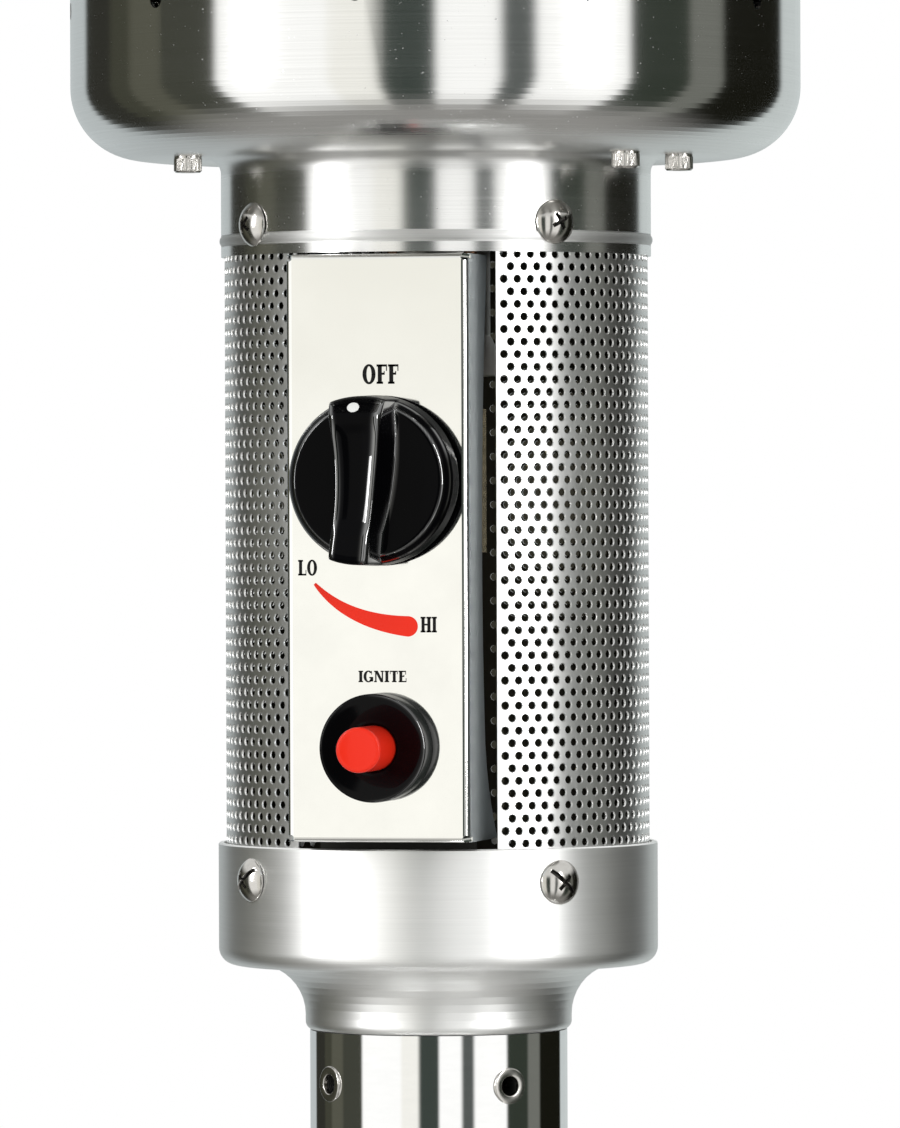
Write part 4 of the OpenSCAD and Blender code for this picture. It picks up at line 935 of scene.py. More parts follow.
@dataclass
class Knob:
    """The gas knob: a round skirt, a waisted grip bar with a finger trough, and flat faces beside it."""

    depth: float = 82.8
    height: float = KNOB_Z
    radius: float = 24.5
    skirt: float = 11.2
    top: float = 25.2
    left_waist: float = -7.2
    left_flare: float = 1.8
    flare_span: float = 22.0
    flare_power: float = 1.8
    waist_up: float = -1.0
    right_edge: float = 5.0
    right_lean: float = 0.095
    left_draft: float = 1.4
    least_draft: float = 0.5
    foot: float = 7.4
    foot_lean: float = 0.134
    foot_bow: float = 0.0055
    fillet: float = 0.5
    fillet_sink: float = 0.03
    edge: float = 2.0
    bevel: float = 2.2
    bevel_drop: float = 4.1
    bevel_soft: float = 0.03
    rim: float = 0.5
    crest: float = 18.5
    crest_soft: float = 0.6
    slope: float = 40.0
    trough_high: float = 12.6
    trough_low: float = -16.0
    trough_depth: float = 1.25
    trough_fade: float = 5.0
    ridge: float = 0.5
    dip: float = 1.6
    dip_low: float = 3.0
    dip_high: float = 1.0
    dip_fade: float = 14.0
    taper: float = 0.4
    rear_round: float = 1.0
    bore: float = 5.0
    bore_depth: float = 9.0
    dot_x: float = -1.4
    dot_up: float = 20.8
    dot_radius: float = 1.75
    dot_edge: float = 0.15
    dull: float = 0.012

    @property
    def reach(self) -> float:
        """Radius of the front's rim."""
        return self.radius - self.taper

    def walls(self, y: Array) -> tuple[Array, Array, Array, Array]:
        """The bar's edges and how far its feet stand out at a height on the knob.

        The left edge is bowed in at its waist, the right edge leans, and the right wall's foot is an arc.

        Args:
            y: height above the knob's axis.

        Returns:
            Left and right edges of the bar's top, and the widths of its left and right walls.
        """
        bow = np.abs((y - self.waist_up) / self.flare_span) ** self.flare_power
        left = self.left_waist - self.left_flare * bow
        right = self.right_edge + self.right_lean * y
        foot = self.foot + self.foot_lean * y - self.foot_bow * y**2
        return left, right, self.left_draft + 0.0 * y, np.maximum(foot - right, self.least_draft)

    def crown(self, y: Array) -> Array:
        """Height of the bar's ridges: a slope at the pointer end, a hollow grip, a level tail.

        Args:
            y: places along the bar, up from the knob's middle.

        Returns:
            The heights above the knob's rear.
        """
        fall = ramp(y - self.crest, self.crest_soft) * math.tan(math.radians(self.slope))
        grip = smooth((y - self.trough_low + self.dip_low) / self.dip_fade)
        grip = grip * smooth((self.crest + self.dip_high - y) / self.dip_fade)
        return self.top - fall - self.dip * grip

    def surface(self, x: Array, y: Array) -> Array:
        """Height of the knob's front over (x, y).

        The faces beside the bar are flat and bevelled at the rim. The bar's walls rise with a draft to edges
        that are quarter rounds, and a trough, deepest along its middle, is sunk between them. The higher of
        bar and face is taken, with a fillet where they meet.

        Args:
            x: places across the front, from the knob's middle.
            y: places up it.

        Returns:
            The heights above the knob's rear.
        """
        past = np.hypot(x, y) - self.reach
        fall = ramp((past + self.bevel) / self.bevel, self.bevel_soft) * self.bevel_drop
        tip = np.clip(past + self.rim, 0.0, self.rim)
        fall = fall + self.rim - np.sqrt(np.maximum(self.rim**2 - tip**2, 0.0))
        flat = self.skirt - fall
        left, right, left_draft, right_draft = self.walls(y)
        crown = self.crown(y)
        out = np.maximum(left - x, x - right)
        middle, half = (left + right) / 2, (right - left) / 2
        draft = np.where(x < middle, left_draft, right_draft)
        ends = smooth((self.crest - 0.5 - y) / (self.crest - self.trough_high))
        ends = ends * smooth((y - self.trough_low) / self.trough_fade)
        across = np.clip(np.abs(x - middle) / (half - self.ridge), 0.0, 1.0)
        trough = self.trough_depth * ends * (1.0 - across**3)
        inset = np.clip(out + self.edge, 0.0, self.edge)
        round_off = self.edge - np.sqrt(self.edge**2 - inset**2)
        foot = np.clip(out / draft, 0.0, 1.3)
        wall = crown - self.edge - (crown - self.edge - flat) * foot
        outer = np.clip(past + self.edge, 0.0, self.edge)
        end_round = self.edge - np.sqrt(np.maximum(self.edge**2 - outer**2, 0.0))
        bar = np.where(out <= 0.0, crown - round_off - trough, wall) - end_round
        return flat + np.maximum(ramp(bar - flat, self.fillet**2) - self.fillet_sink, 0.0)

    def build(self) -> None:
        """Makes the knob and its pointer dot.

        Rows run across the knob at y = reach sin(v), so that the rim's points lie at even angles. Columns
        gather at the bar's walls and ridges. The side and the rear are rings swept from the rim inwards.
        """
        reach = self.reach
        turn = np.radians(np.linspace(-90.0, 90.0, 241))
        y = (reach * np.sin(turn))[:, None]
        chord = reach * np.cos(turn)[:, None]
        left, right, left_draft, right_draft = self.walls(y)
        spread, skirting = 2.2, 0.7
        marks = (
            -chord, left - left_draft - skirting, left, left + spread, right - spread, right,
            right + right_draft + skirting, chord,
        )
        share = (1.0, 0.93, 0.86, 0.5, 0.5, 0.86, 0.93, 1.0)
        marks = [np.clip(m, -s * chord, s * chord) for m, s in zip(marks, share)]
        even = [np.linspace(0.0, 1.0, n)[None, :-1] for n in (31, 19, 19, 21, 19, 25, 31)]
        even[0], even[-1] = 1.0 - np.cos(even[0] * np.pi / 2), np.sin(even[-1] * np.pi / 2)
        spans = [a + (b - a) * t for a, b, t in zip(marks[:-1], marks[1:], even)]
        x = np.concatenate(spans + [chord], axis=1)
        y = y + 0.0 * x
        front = np.stack([x, y, self.surface(x, y)], axis=-1)
        place = Place.facing(self.depth, self.height)
        shell = Shell().grid(place.put(front))
        edge = np.concatenate([front[:, -1], front[-2:0:-1, 0]])
        way = edge[:, :2] / reach
        share = np.linspace(0.0, 1.0, 9)[:, None]
        e = self.rear_round
        side_r = reach + self.taper * share
        side_z = edge[None, :, 2] * (1.0 - share) + e * share
        hollow = [[self.bore, 0.0], [self.bore, self.bore_depth], [0.0, self.bore_depth]]
        rear = np.concatenate([arc(self.radius - e, e, e, 0.0, -90.0, 5)[1:], hollow])
        radius = np.concatenate([side_r, rear[:, :1]])[:, :, None]
        heights = np.concatenate([side_z, np.repeat(rear[:, 1:], len(way), axis=1)])
        rings = np.concatenate([radius * way[None], heights[:, :, None]], axis=2)
        shell.grid(place.put(rings), loop=True)
        knob = shell.piece("gas_knob", Body.KNOB, "black_gloss", ("knob",), sharp=32.0)
        Shell.mark(knob, "shine", [place], self.shine)
        self._dot()

    def shine(self, x: Array, y: Array, z: Array) -> Array:
        """How polished the front is at (x, y, z): worn bright along its edges, dull on its faces and sides.

        Each edge has a weight that falls off as exp(-(gap / width)^2) with the gap from its line. The lines
        are the two edges of the rim's bevel, the bar's edges and the foot of its right wall. Gaps and widths
        are millimetres.

        Args:
            x: places across the front, from the knob's middle.
            y: places up it.
            z: heights above the knob's rear.

        Returns:
            The weights, 0 for dull and 1 for polished.
        """
        left, right, left_draft, right_draft = self.walls(y)
        foot = right + right_draft
        past = np.hypot(x, y) - self.reach

        def along(gap: Array, width: float) -> Array:
            """Weight at a gap from a line."""
            return np.exp(-((gap / width) ** 2))

        beside = smooth((x - foot) / 0.8) + smooth((left - left_draft - x) / 0.8)
        rims = along(past + self.bevel, 0.24) + along(past + self.rim, 0.16)
        edges = along(x - right + 1.2, 0.8) + along(x - foot, 0.5) + 0.8 * along(x - left - 1.0, 0.6)
        wall = smooth((y - 11.0) / 4.0) * along(x - (right + foot) / 2, 0.9)
        face = self.dull * smooth((-self.bevel - past) / 0.4)
        bar = (edges + wall) * (1.0 - smooth((past + 1.0) / 0.8))
        front = z > self.skirt - self.bevel_drop - self.rim + 0.2
        return np.clip(face + rims * beside + bar, 0.0, 1.0) * front

    def _dot(self) -> None:
        """Makes the white pointer dot, a thin disc on the slope at the bar's end."""
        c, s = math.cos(math.radians(self.slope)), math.sin(math.radians(self.slope))
        level = float(self.crown(np.array(self.dot_up)))
        origin = (self.dot_x, -self.depth - level, self.height + self.dot_up)
        r, e = self.dot_radius, self.dot_edge
        disc = np.concatenate([[[0.0, -0.6], [r, -0.6]], arc(r - e, 0.0, e, 0.0, 90.0, 4), [[0.0, 0.22]]])
        shell = Shell().turned(disc, Place(origin, (1, 0, 0), (0, s, c), (0, -c, s)), 40)
        shell.piece("pointer_dot", Body.KNOB, "white_mark", ("knob_dot",))


@dataclass
class Igniter:
    """The push igniter: a black bezel with a dished face, and a red button with a hollowed front.

    The button's hollow is given as pairs of the way in from its side and the depth there.
    """

    face: float = PANEL_FACE
    height: float = IGNITER_Z
    bezel_radius: float = 15.6
    bezel_height: float = 10.2
    lift: float = 0.05
    dish: float = 1.1
    dish_in: float = 0.9
    dish_out: float = 1.7
    edge: float = 0.8
    mouth: float = 0.5
    foot: float = 0.4
    lip_shine: float = 0.55
    lip_width: float = 0.35
    button_radius: float = 6.5
    button_front: float = 107.8
    button_back: float = BUTTON_BACK
    button_edge: float = 0.9
    chamfer: float = 0.5
    hollow: tuple[tuple[float, float], ...] = ((1.5, 0.12), (3.2, 0.30), (6.5, 0.36))
    gap: float = 0.3

    def build(self) -> None:
        """Makes the bezel and the button as turned profiles."""
        r, h, e, bore = self.bezel_radius, self.bezel_height, self.edge, self.button_radius + self.gap
        floor, m, f, low = h - self.dish, self.mouth, self.foot, self.lift
        profile = np.concatenate([
            [[bore, low], [bore, floor - m - 0.1]],
            arc(bore + m, floor - m, m, 180.0, 95.0, 5),
            np.linspace([bore + self.dish_in, floor], [r - self.dish_out, h - low], 9),
            arc(r - e, h - e, e, 105.0, 0.0, 9),
            arc(r - f, f + low, f, 0.0, -90.0, 4),
            [[bore, low]],
        ])
        place = Place.facing(self.face, self.height)
        shell = Shell().turned(profile, place, 128)
        bezel = shell.piece("igniter_surround", Body.HEATER, "black_gloss", ("igniter_bezel",), sharp=40.0)
        Shell.mark(bezel, "shine", [place], self.shine)
        length = self.button_front - self.button_back
        b, e, c = self.button_radius, self.button_edge, self.chamfer
        cap = np.concatenate([
            [[0.0, 0.0], [b - c, 0.0], [b, c], [b, length - e - 0.1]],
            arc(b - e, length - e, e, 0.0, 80.0, 8),
            [[b - inwards, length - deep] for inwards, deep in self.hollow],
        ])
        shell = Shell().turned(cap, Place.facing(self.button_back, self.height), 96)
        shell.piece("red_button", Body.BUTTON, "red_gloss", ("igniter_button",), sharp=40.0)

    def shine(self, x: Array, y: Array, z: Array) -> Array:
        """How polished the bezel is: a line along its lip, exp(-(gap / width)^2), that fades to the left.

        Args:
            x: places across the bezel, from its middle.
            y: places up it.
            z: heights above its rear.

        Returns:
            The weights, 0 for dull and 1 for polished.
        """
        gap = np.hypot(x, y) - self.bezel_radius + 0.4 * self.edge
        line = self.lip_shine * np.exp(-((gap / self.lip_width) ** 2))
        return line * smooth((x + 3.0) / 9.0) * (z > 0.5 * self.bezel_height)


# Fasteners


@dataclass
class TrussScrews:
    """Domed screws with a cross recess, and with a slot across it too if asked, round the axis.

    The recess is drawn for a head of 12.9 mm and grows with the head.
    """

    DRAWN = 12.9

    name: str
    node: str
    seat: float
    height: float
    turns: tuple[float, ...]
    slotted: bool
    angles: tuple[float, ...] = QUARTERS
    head: float = DRAWN
    dome: float = 3.4
    lip: float = 0.35
    shank: float = 6.0
    length: float = 12.0
    arm: Triple = (0.62, 2.7, 0.3)
    arm_deep: float = 1.9
    arm_rise: float = 0.38
    slot: Triple = (0.66, 5.3, 0.4)
    slot_deep: float = 1.05
    soft: float = 0.16
    gather: float = 0.28
    # Depth at which the painted shade in a recess is full
    recess_shade_deep: float = 0.5

    def sunk(self, x: Array, y: Array) -> Array:
        """Depth of the recess at a place on the head: two arms that deepen inwards, and the slot.

        Args:
            x: places across the head, in millimetres.
            y: places up it.

        Returns:
            The depths, 0 beside the recess.
        """
        k = self.head / self.DRAWN

        def bar(along: Array, across: Array, size: Triple) -> Array:
            """1 in a bar and 0 beside it, from its half width, its half length and the fade at its ends.

            Args:
                along: places along the bar, from its middle.
                across: places across it.
                size: those three, on the head as drawn.

            Returns:
                The shares, between 0 and 1.
            """
            half, reach, fade = size
            sides = smooth((half * k - np.abs(across)) / (self.soft * k))
            return sides * smooth((reach * k - np.abs(along)) / (fade * k))

        def deep(along: Array, across: Array) -> Array:
            """Depth of one arm of the cross."""
            return bar(along, across, self.arm) * (self.arm_deep - self.arm_rise * np.abs(along) / k) * k

        depth = np.maximum(deep(x, y), deep(y, x))
        if self.slotted:
            depth = np.maximum(depth, self.slot_deep * k * bar(x, y, self.slot))
        return depth

    def build(self) -> bpy.types.Object:
        """Makes the group.

        A head is a ball's cap on a square grid drawn out to a disc: x = r u sqrt(1 - v^2 / 2) and
        y = r v sqrt(1 - u^2 / 2), where u and v run from -1 to 1. The recess sinks into the cap.

        Returns:
            The piece, which holds the whole group.
        """
        r = self.head / 2
        ball = (r**2 + self.dome**2) / (2 * self.dome)
        t = np.linspace(-1.0, 1.0, 61)
        t = t * (1.0 - self.gather + self.gather * t**2)
        u, v = np.meshgrid(t, t)
        x, y = r * u * np.sqrt(1.0 - v**2 / 2), r * v * np.sqrt(1.0 - u**2 / 2)
        cap = np.sqrt(ball**2 - np.minimum(x**2 + y**2, r**2)) - ball + self.dome
        top = self.lip + np.maximum(cap * (1.0 - self.lip / self.dome) - self.sunk(x, y), 0.0)
        edge = np.stack([x, y], axis=-1) / r
        rim = np.concatenate([edge[0, :-1], edge[:-1, -1], edge[-1, :0:-1], edge[:0:-1, 0]])
        half = self.shank / 2
        stem = np.array([[r, self.lip], [r, 0.0], [half, 0.0], [half, -self.length], [0.0, -self.length]])
        heights = np.repeat(stem[:, None, 1:], len(rim), axis=1)
        rings = np.concatenate([stem[:, None, :1] * rim, heights], axis=2)
        shell = Shell()
        spots = zip(self.angles, self.turns)
        places = [Place.radial(angle, self.seat, self.height).spun(turn) for angle, turn in spots]
        for place in places:
            shell.grid(place.put(np.stack([x, y, top], axis=-1)))
            shell.grid(place.put(rings), loop=True)
        screws = shell.piece(self.name, Body.HEATER, "screw_steel", (self.node,), sharp=45.0)
        # The recesses get a painted shade, by their depth.
        Shell.mark(screws, "recess_shade", places, self.recess_shade_weight)
        return screws

    def recess_shade_weight(self, x: Array, y: Array, z: Array) -> Array:
        """The weight of a painted shade in the recess: full where the recess reaches the given depth or
        deeper.
        """
        return smooth(self.sunk(x, y) / self.recess_shade_deep) * (z > 0.0) * (np.hypot(x, y) < self.head / 2)


@dataclass
class SocketScrews:
    """Socket-head screws with knurled heads that hang under the drum."""

    height: float = DRUM_LOW
    circle: float = 77.45
    angles: tuple[float, ...] = (57.5, 79.0, 180.0, 302.5)
    head: float = 8.2
    tall: float = 4.8
    socket: float = 4.0
    socket_floor: float = 1.8
    notch: float = 0.10
    notch_low: float = 0.9
    notch_high: float = 4.2
    shank: float = 5.0
    length: float = 4.9

    def build(self) -> bpy.types.Object:
        """Makes the group: a turned profile whose side is notched round the head.

        Returns:
            The piece, which holds the whole group.
        """
        sides, r, tall = 240, self.head / 2, self.tall
        angle = (np.arange(sides) * 2 * np.pi / sides)[None]
        knurl = r - np.where(np.arange(sides) % 4 < 2, 0.0, self.notch)[None]
        six = (angle + np.pi / 6) % (np.pi / 3) - np.pi / 6
        flat = self.socket / 2 / np.cos(six)
        rows = [
            (0.0, self.socket_floor), (flat, self.socket_floor), (flat, tall - 0.25), (flat + 0.3, tall),
            (r - 0.5, tall), (r - 0.1, tall - 0.45), (knurl, self.notch_high), (knurl, self.notch_low),
            (r, self.notch_low - 0.2), (r, 0.0), (self.shank / 2, 0.0), (self.shank / 2, -self.length),
            (0.0, -self.length),
        ]
        radius = np.concatenate([out + 0.0 * angle for out, _ in rows])
        height = np.array([up for _, up in rows])[:, None] + 0.0 * radius
        local = np.stack([radius * np.cos(angle), radius * np.sin(angle), height], axis=-1)
        shell = Shell()
        for place_angle in self.angles:
            shell.grid(Place.under(place_angle, self.circle, self.height).put(local), loop=True)
        return shell.piece("drum_socket_screws", Body.HEATER, "screw_steel", ("drum_screws",), sharp=30.0)


@dataclass
class PostInserts:
    """Threaded inserts near the top of the post, each with a round lip that grips the tube."""

    post: float = POST_RADIUS
    height: float = 284.0
    lip: float = 5.3
    lip_round: float = 0.45
    sunk: float = 0.5
    sleeve: float = 4.1
    bore: float = 2.9
    bore_round: float = 0.35
    deep: float = 8.0
    thread_half_pitch: float = 0.35
    thread_deep: float = 0.22
    thread_length: float = 5.6
    angles: tuple[float, ...] = QUARTERS

    def build(self) -> bpy.types.Object:
        """Makes the group: turned rings whose lips sink to the tube's round, with threads in their bores.

        Returns:
            The piece, which holds the whole group.
        """
        b, e, f = self.bore, self.lip_round, self.bore_round
        turns = np.arange(0.0, self.thread_length, self.thread_half_pitch)
        crests = b - self.thread_deep + self.thread_deep * (np.arange(len(turns)) % 2)
        profile = np.concatenate([
            [[self.sleeve, -self.deep], [self.sleeve, -self.sunk], [self.lip, -self.sunk]],
            arc(self.lip - e, 0.05, e, 0.0, 90.0, 5),
            arc(b + f, 0.15, f, 90.0, 180.0, 5),
            np.stack([crests, -0.6 - turns], axis=1),
            [[b - 0.2, -self.deep], [self.sleeve, -self.deep]],
        ])
        shell = Shell()
        for angle in self.angles:
            shell.turned(profile, Place.radial(angle, self.post, self.height), 64)
        return shell.piece("post_threaded_inserts", Body.HEATER, "screw_steel", ("post_inserts",), sharp=40.0)


# Springs, lead and tubes


@dataclass
class Spring:
    """A coil spring round the stem or the button."""

    name: str
    node: str
    joint: str
    back: float
    front: float
    height: float
    radius: float
    wire: float
    turns: int
    travel: float

    def build(self) -> bpy.types.Object:
        """Makes the spring: a ring of wire carried along a helix, with a play of 0.1 mm at each end.

        Returns:
            The spring.
        """
        play, span = 0.1, self.front - self.back
        turn = np.linspace(0.0, 2 * np.pi * self.turns, 36 * self.turns + 1)[:, None]
        rise = (span - self.wire - 2 * play) * turn / turn[-1]
        out = np.concatenate([np.cos(turn), np.sin(turn), 0.0 * turn], axis=1)
        line = self.radius * out + np.concatenate([0.0 * turn, 0.0 * turn, rise], axis=1)
        ahead = np.broadcast_to([0.0, 0.0, 1.0], out.shape)
        place = Place.facing(self.back + self.wire / 2 + play, self.height)
        shell = Shell().grid(place.put(rod(line, out, ahead, self.wire / 2, 12)), loop=True)
        obj = shell.piece(self.name, Body.HEATER, "screw_steel", (self.node,), sharp=60.0)
        anchor = (0.0, -self.back * MM, self.height * MM)
        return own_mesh(obj, self.joint, axis=(0, 1, 0), anchor=anchor, keep=(span - self.travel) / span)


@dataclass
class Tube:
    """A lead or a tube inside the head, on the smooth curve through its route."""

    ASLANT = (1.0, 0.02, 0.03)

    name: str
    node: str
    slot: str
    diameter: float
    route: tuple[Triple, ...]

    def build(self) -> bpy.types.Object:
        """Makes the tube: a ring carried along a curve that passes through each point of the route.

        The ring's first axis is square to the curve and to ASLANT, a way that the routes never take.

        Returns:
            The tube.
        """
        p = np.array(self.route, float)
        ends = np.concatenate([p[:1], p, p[-1:]])
        a, b, c, d = (ends[i : len(p) - 1 + i, None] for i in range(4))
        t = np.linspace(0.0, 1.0, 13)[None, :-1, None]
        bend, twist = 2 * a - 5 * b + 4 * c - d, 3 * b - a - 3 * c + d
        curve = 0.5 * (2 * b + (c - a) * t + bend * t**2 + twist * t**3)
        line = np.concatenate([curve.reshape(-1, 3), p[-1:]])
        way = np.gradient(line, axis=0)
        way = way / np.linalg.norm(way, axis=1, keepdims=True)
        first = np.cross(way, self.ASLANT)
        first = first / np.linalg.norm(first, axis=1, keepdims=True)
        rings = rod(line, first, np.cross(way, first), self.diameter / 2, 16)
        shell = Shell().grid(rings * MM, loop=True)
        return shell.piece(self.name, Body.HEATER, self.slot, (self.node,), sharp=60.0)


# Printed legends


class Glyphs:
    """Upright serif capitals, one unit high, as closed outlines made of bars, slants and bowls."""

    STEM = 0.25
    THIN = 0.115
    SERIF = 0.075

    @staticmethod
    def bar(x0: float, y0: float, x1: float, y1: float) -> Array:
        """A level or upright bar as a strip of two pairs of points."""
        return np.array([[[x0, y0], [x1, y0]], [[x0, y1], [x1, y1]]])

    @classmethod
    def stem(cls, x: float) -> list[Array]:
        """A thick stem with serifs at its head and foot."""
        w, s, t = cls.STEM, cls.SERIF, cls.THIN
        return [cls.bar(x, 0, x + w, 1), cls.bar(x - s, 0, x + w + s, t), cls.bar(x - s, 1 - t, x + w + s, 1)]

    @classmethod
    def bowl(cls, x: float, y: float, half_w: float, half_h: float, start: float, end: float) -> Array:
        """A curved stroke, thick at its sides and thin at its top and bottom.

        Args:
            x: middle of the bowl, across.
            y: middle of the bowl, up.
            half_w: half of its width.
            half_h: half of its height.
            start: the angle at which the stroke starts, in degrees from x.
            end: the angle at which it ends.

        Returns:
            The stroke as a strip of pairs of points, outer and inner.
        """
        turn = np.radians(np.linspace(start, end, 33))
        inner_w, inner_h = half_w - cls.STEM, half_h - cls.THIN
        outer = np.stack([x + half_w * np.cos(turn), y + half_h * np.sin(turn)], axis=1)
        inner = np.stack([x + inner_w * np.cos(turn), y + inner_h * np.sin(turn)], axis=1)
        return np.stack([outer, inner], axis=1)

    @classmethod
    def arm(cls, x0: float, x1: float, y: float, tick: float) -> list[Array]:
        """A thin arm from a stem, with a tick at its end; tick is its height, down if negative."""
        t = cls.THIN / 2
        return [cls.bar(x0, y - t, x1, y + t), cls.bar(x1 - 0.06, min(y, y + tick), x1, max(y, y + tick))]

    @staticmethod
    def slant(x0: float, y0: float, x1: float, y1: float, w: float) -> Array:
        """A slanting stroke of level width w."""
        return np.array([[[x0, y0], [x0 + w, y0]], [[x1, y1], [x1 + w, y1]]])

    @classmethod
    def letter(cls, sign: str) -> tuple[float, list[Array]]:
        """A letter's advance and its strokes.

        Args:
            sign: one capital letter.

        Returns:
            The width to the next letter and the strips that draw it.
        """
        s, t, e = cls.STEM, cls.THIN, cls.SERIF
        upper = cls.arm(e + s, 0.64, 1 - t / 2, -0.28) + cls.arm(e + s, 0.50, 0.52, 0.13)
        if sign == "O":
            return 0.86, [cls.bowl(0.40, 0.5, 0.40, 0.52, 0, 360)]
        if sign == "I":
            return 0.44, cls.stem(e)
        if sign == "L":
            return 0.72, cls.stem(e) + cls.arm(e + s, 0.66, t / 2, 0.30)
        if sign == "F":
            return 0.70, cls.stem(e) + upper
        if sign == "E":
            return 0.76, cls.stem(e) + upper + cls.arm(e + s, 0.68, t / 2, 0.30)
        if sign == "H":
            return 0.90, cls.stem(e) + cls.stem(0.54) + [cls.bar(e + s, 0.5 - t / 2, 0.54, 0.5 + t / 2)]
        if sign == "N":
            sides = [cls.bar(e + 0.02, 0, e + 0.02 + t, 1), cls.bar(0.66, 0, 0.66 + t, 1)]
            feet = [cls.bar(0, 0, 0.24, t), cls.bar(0, 1 - t, 0.24, 1), cls.bar(0.56, 1 - t, 0.84, 1)]
            return 0.90, sides + feet + [cls.slant(0.56, 0, 0.07, 1, s)]
        if sign == "G":
            spur = [cls.bar(0.58, 0.06, 0.58 + s, 0.46), cls.bar(0.49, 0.46 - t, 0.83, 0.46)]
            return 0.90, [cls.bowl(0.42, 0.5, 0.42, 0.52, 42, 322)] + spur + [cls.bar(0.66, 0.66, 0.72, 0.98)]
        x = 0.27
        ends = [cls.bar(0.02, 0.70, 0.08, 1), cls.bar(0.63, 0.70, 0.69, 1)]
        stem = [cls.bar(x, 0, x + s, 1), cls.bar(x - e, 0, x + s + e, t)]
        return 0.76, stem + [cls.bar(0.02, 1 - t, 0.69, 1)] + ends


@dataclass
class Legends:
    """Printed marks on the control panel: plain setting words and the red level wedge.

    A word comes with its middle, across and up, its height and its letters' width for that height. The
    wedge's points are the four of a Bezier curve.
    """

    face: float = PANEL_FACE
    ink: float = 0.04
    words: tuple[tuple[str, float, float, float, float], ...] = (
        ("OFF", 0.6, 491.8, 5.6, 0.86),
        ("LO", -21.1, 436.2, 4.5, 0.82),
        ("HI", 14.5, 419.8, 4.5, 0.82),
        ("IGNITE", 0.9, 404.9, 3.3, 1.04),
    )
    wedge_points: tuple[tuple[float, float], ...] = (
        (-19.0, 431.6), (-13.0, 424.6), (-4.0, 420.3), (8.4, 419.3),
    )
    wedge_end: float = 5.9
    wedge_tip: float = 0.14
    wedge_power: float = 0.85

    def build(self) -> None:
        """Prints the words and the wedge as thin flat solids on the panel."""
        for word, across, height, tall, narrow in self.words:
            letters = [Glyphs.letter(sign) for sign in word]
            starts = np.cumsum([0.0] + [advance for advance, _ in letters])
            shell = Shell()
            for start, (_, strips) in zip(starts, letters):
                for strip in strips:
                    flat = (strip + [start - starts[-1] / 2 + 0.03, -0.5]) * [tall * narrow, tall]
                    self._print(shell, flat, Place.facing(self.face, height, across))
            shell.piece(f"legend_{word.lower()}", Body.HEATER, "black_plastic")
        shell = Shell()
        self._print(shell, self._wedge(), Place.facing(self.face, 0.0))
        shell.piece("level_wedge", Body.HEATER, "red_gloss")

    def _print(self, shell: Shell, flat: Array, place: Place) -> None:
        """Adds a strip of points as a thin closed solid.

        Args:
            shell: the shell that takes it.
            flat: the strip's pairs of points, in millimetres.
            place: the frame on the panel's face.
        """
        deep = np.full(flat.shape[:2] + (1,), 1.0)
        front, back = (np.concatenate([flat, deep * z], axis=-1) for z in (self.ink, -self.ink))
        rings = np.stack([front[:, 0], front[:, 1], back[:, 1], back[:, 0]], axis=1)
        shell.grid(place.put(rings), loop=True)
        for end in (rings[:1], rings[-1:]):
            shell.grid(place.put(self._cap(end)))

    @staticmethod
    def _cap(end: Array) -> Array:
        """The four corners of a strip's end as a grid of one quad."""
        a, b, c, d = end[0]
        return np.array([[a, b], [d, c]])

    def _wedge(self) -> Array:
        """The wedge: a smooth curve whose width grows from a point to a round end.

        Returns:
            The wedge as a strip of pairs of points.
        """
        p = np.array(self.wedge_points)
        t = np.linspace(0.0, 1.0, 49)[:, None]
        line = (1 - t) ** 3 * p[0] + 3 * (1 - t) ** 2 * t * p[1] + 3 * (1 - t) * t**2 * p[2] + t**3 * p[3]
        way = np.gradient(line, axis=0)
        side = np.stack([-way[:, 1], way[:, 0]], axis=1) / np.linalg.norm(way, axis=1, keepdims=True)
        half = self.wedge_end / 2 * (self.wedge_tip + (1.0 - self.wedge_tip) * t**self.wedge_power)
        turn = np.radians(np.linspace(0.0, 88.0, 12))[1:, None]
        ahead = way[-1] / np.linalg.norm(way[-1])
        cap_line = line[-1] + self.wedge_end / 2 * np.sin(turn) * ahead
        cap_half = self.wedge_end / 2 * np.cos(turn)
        line, half = np.concatenate([line, cap_line]), np.concatenate([half, cap_half])
        side = np.concatenate([side, np.repeat(side[-1:], len(cap_line), axis=0)])
        return np.stack([line + side * half, line - side * half], axis=1)


# Studio


WHITE_CARD = (1.12, 1.12, 1.10)


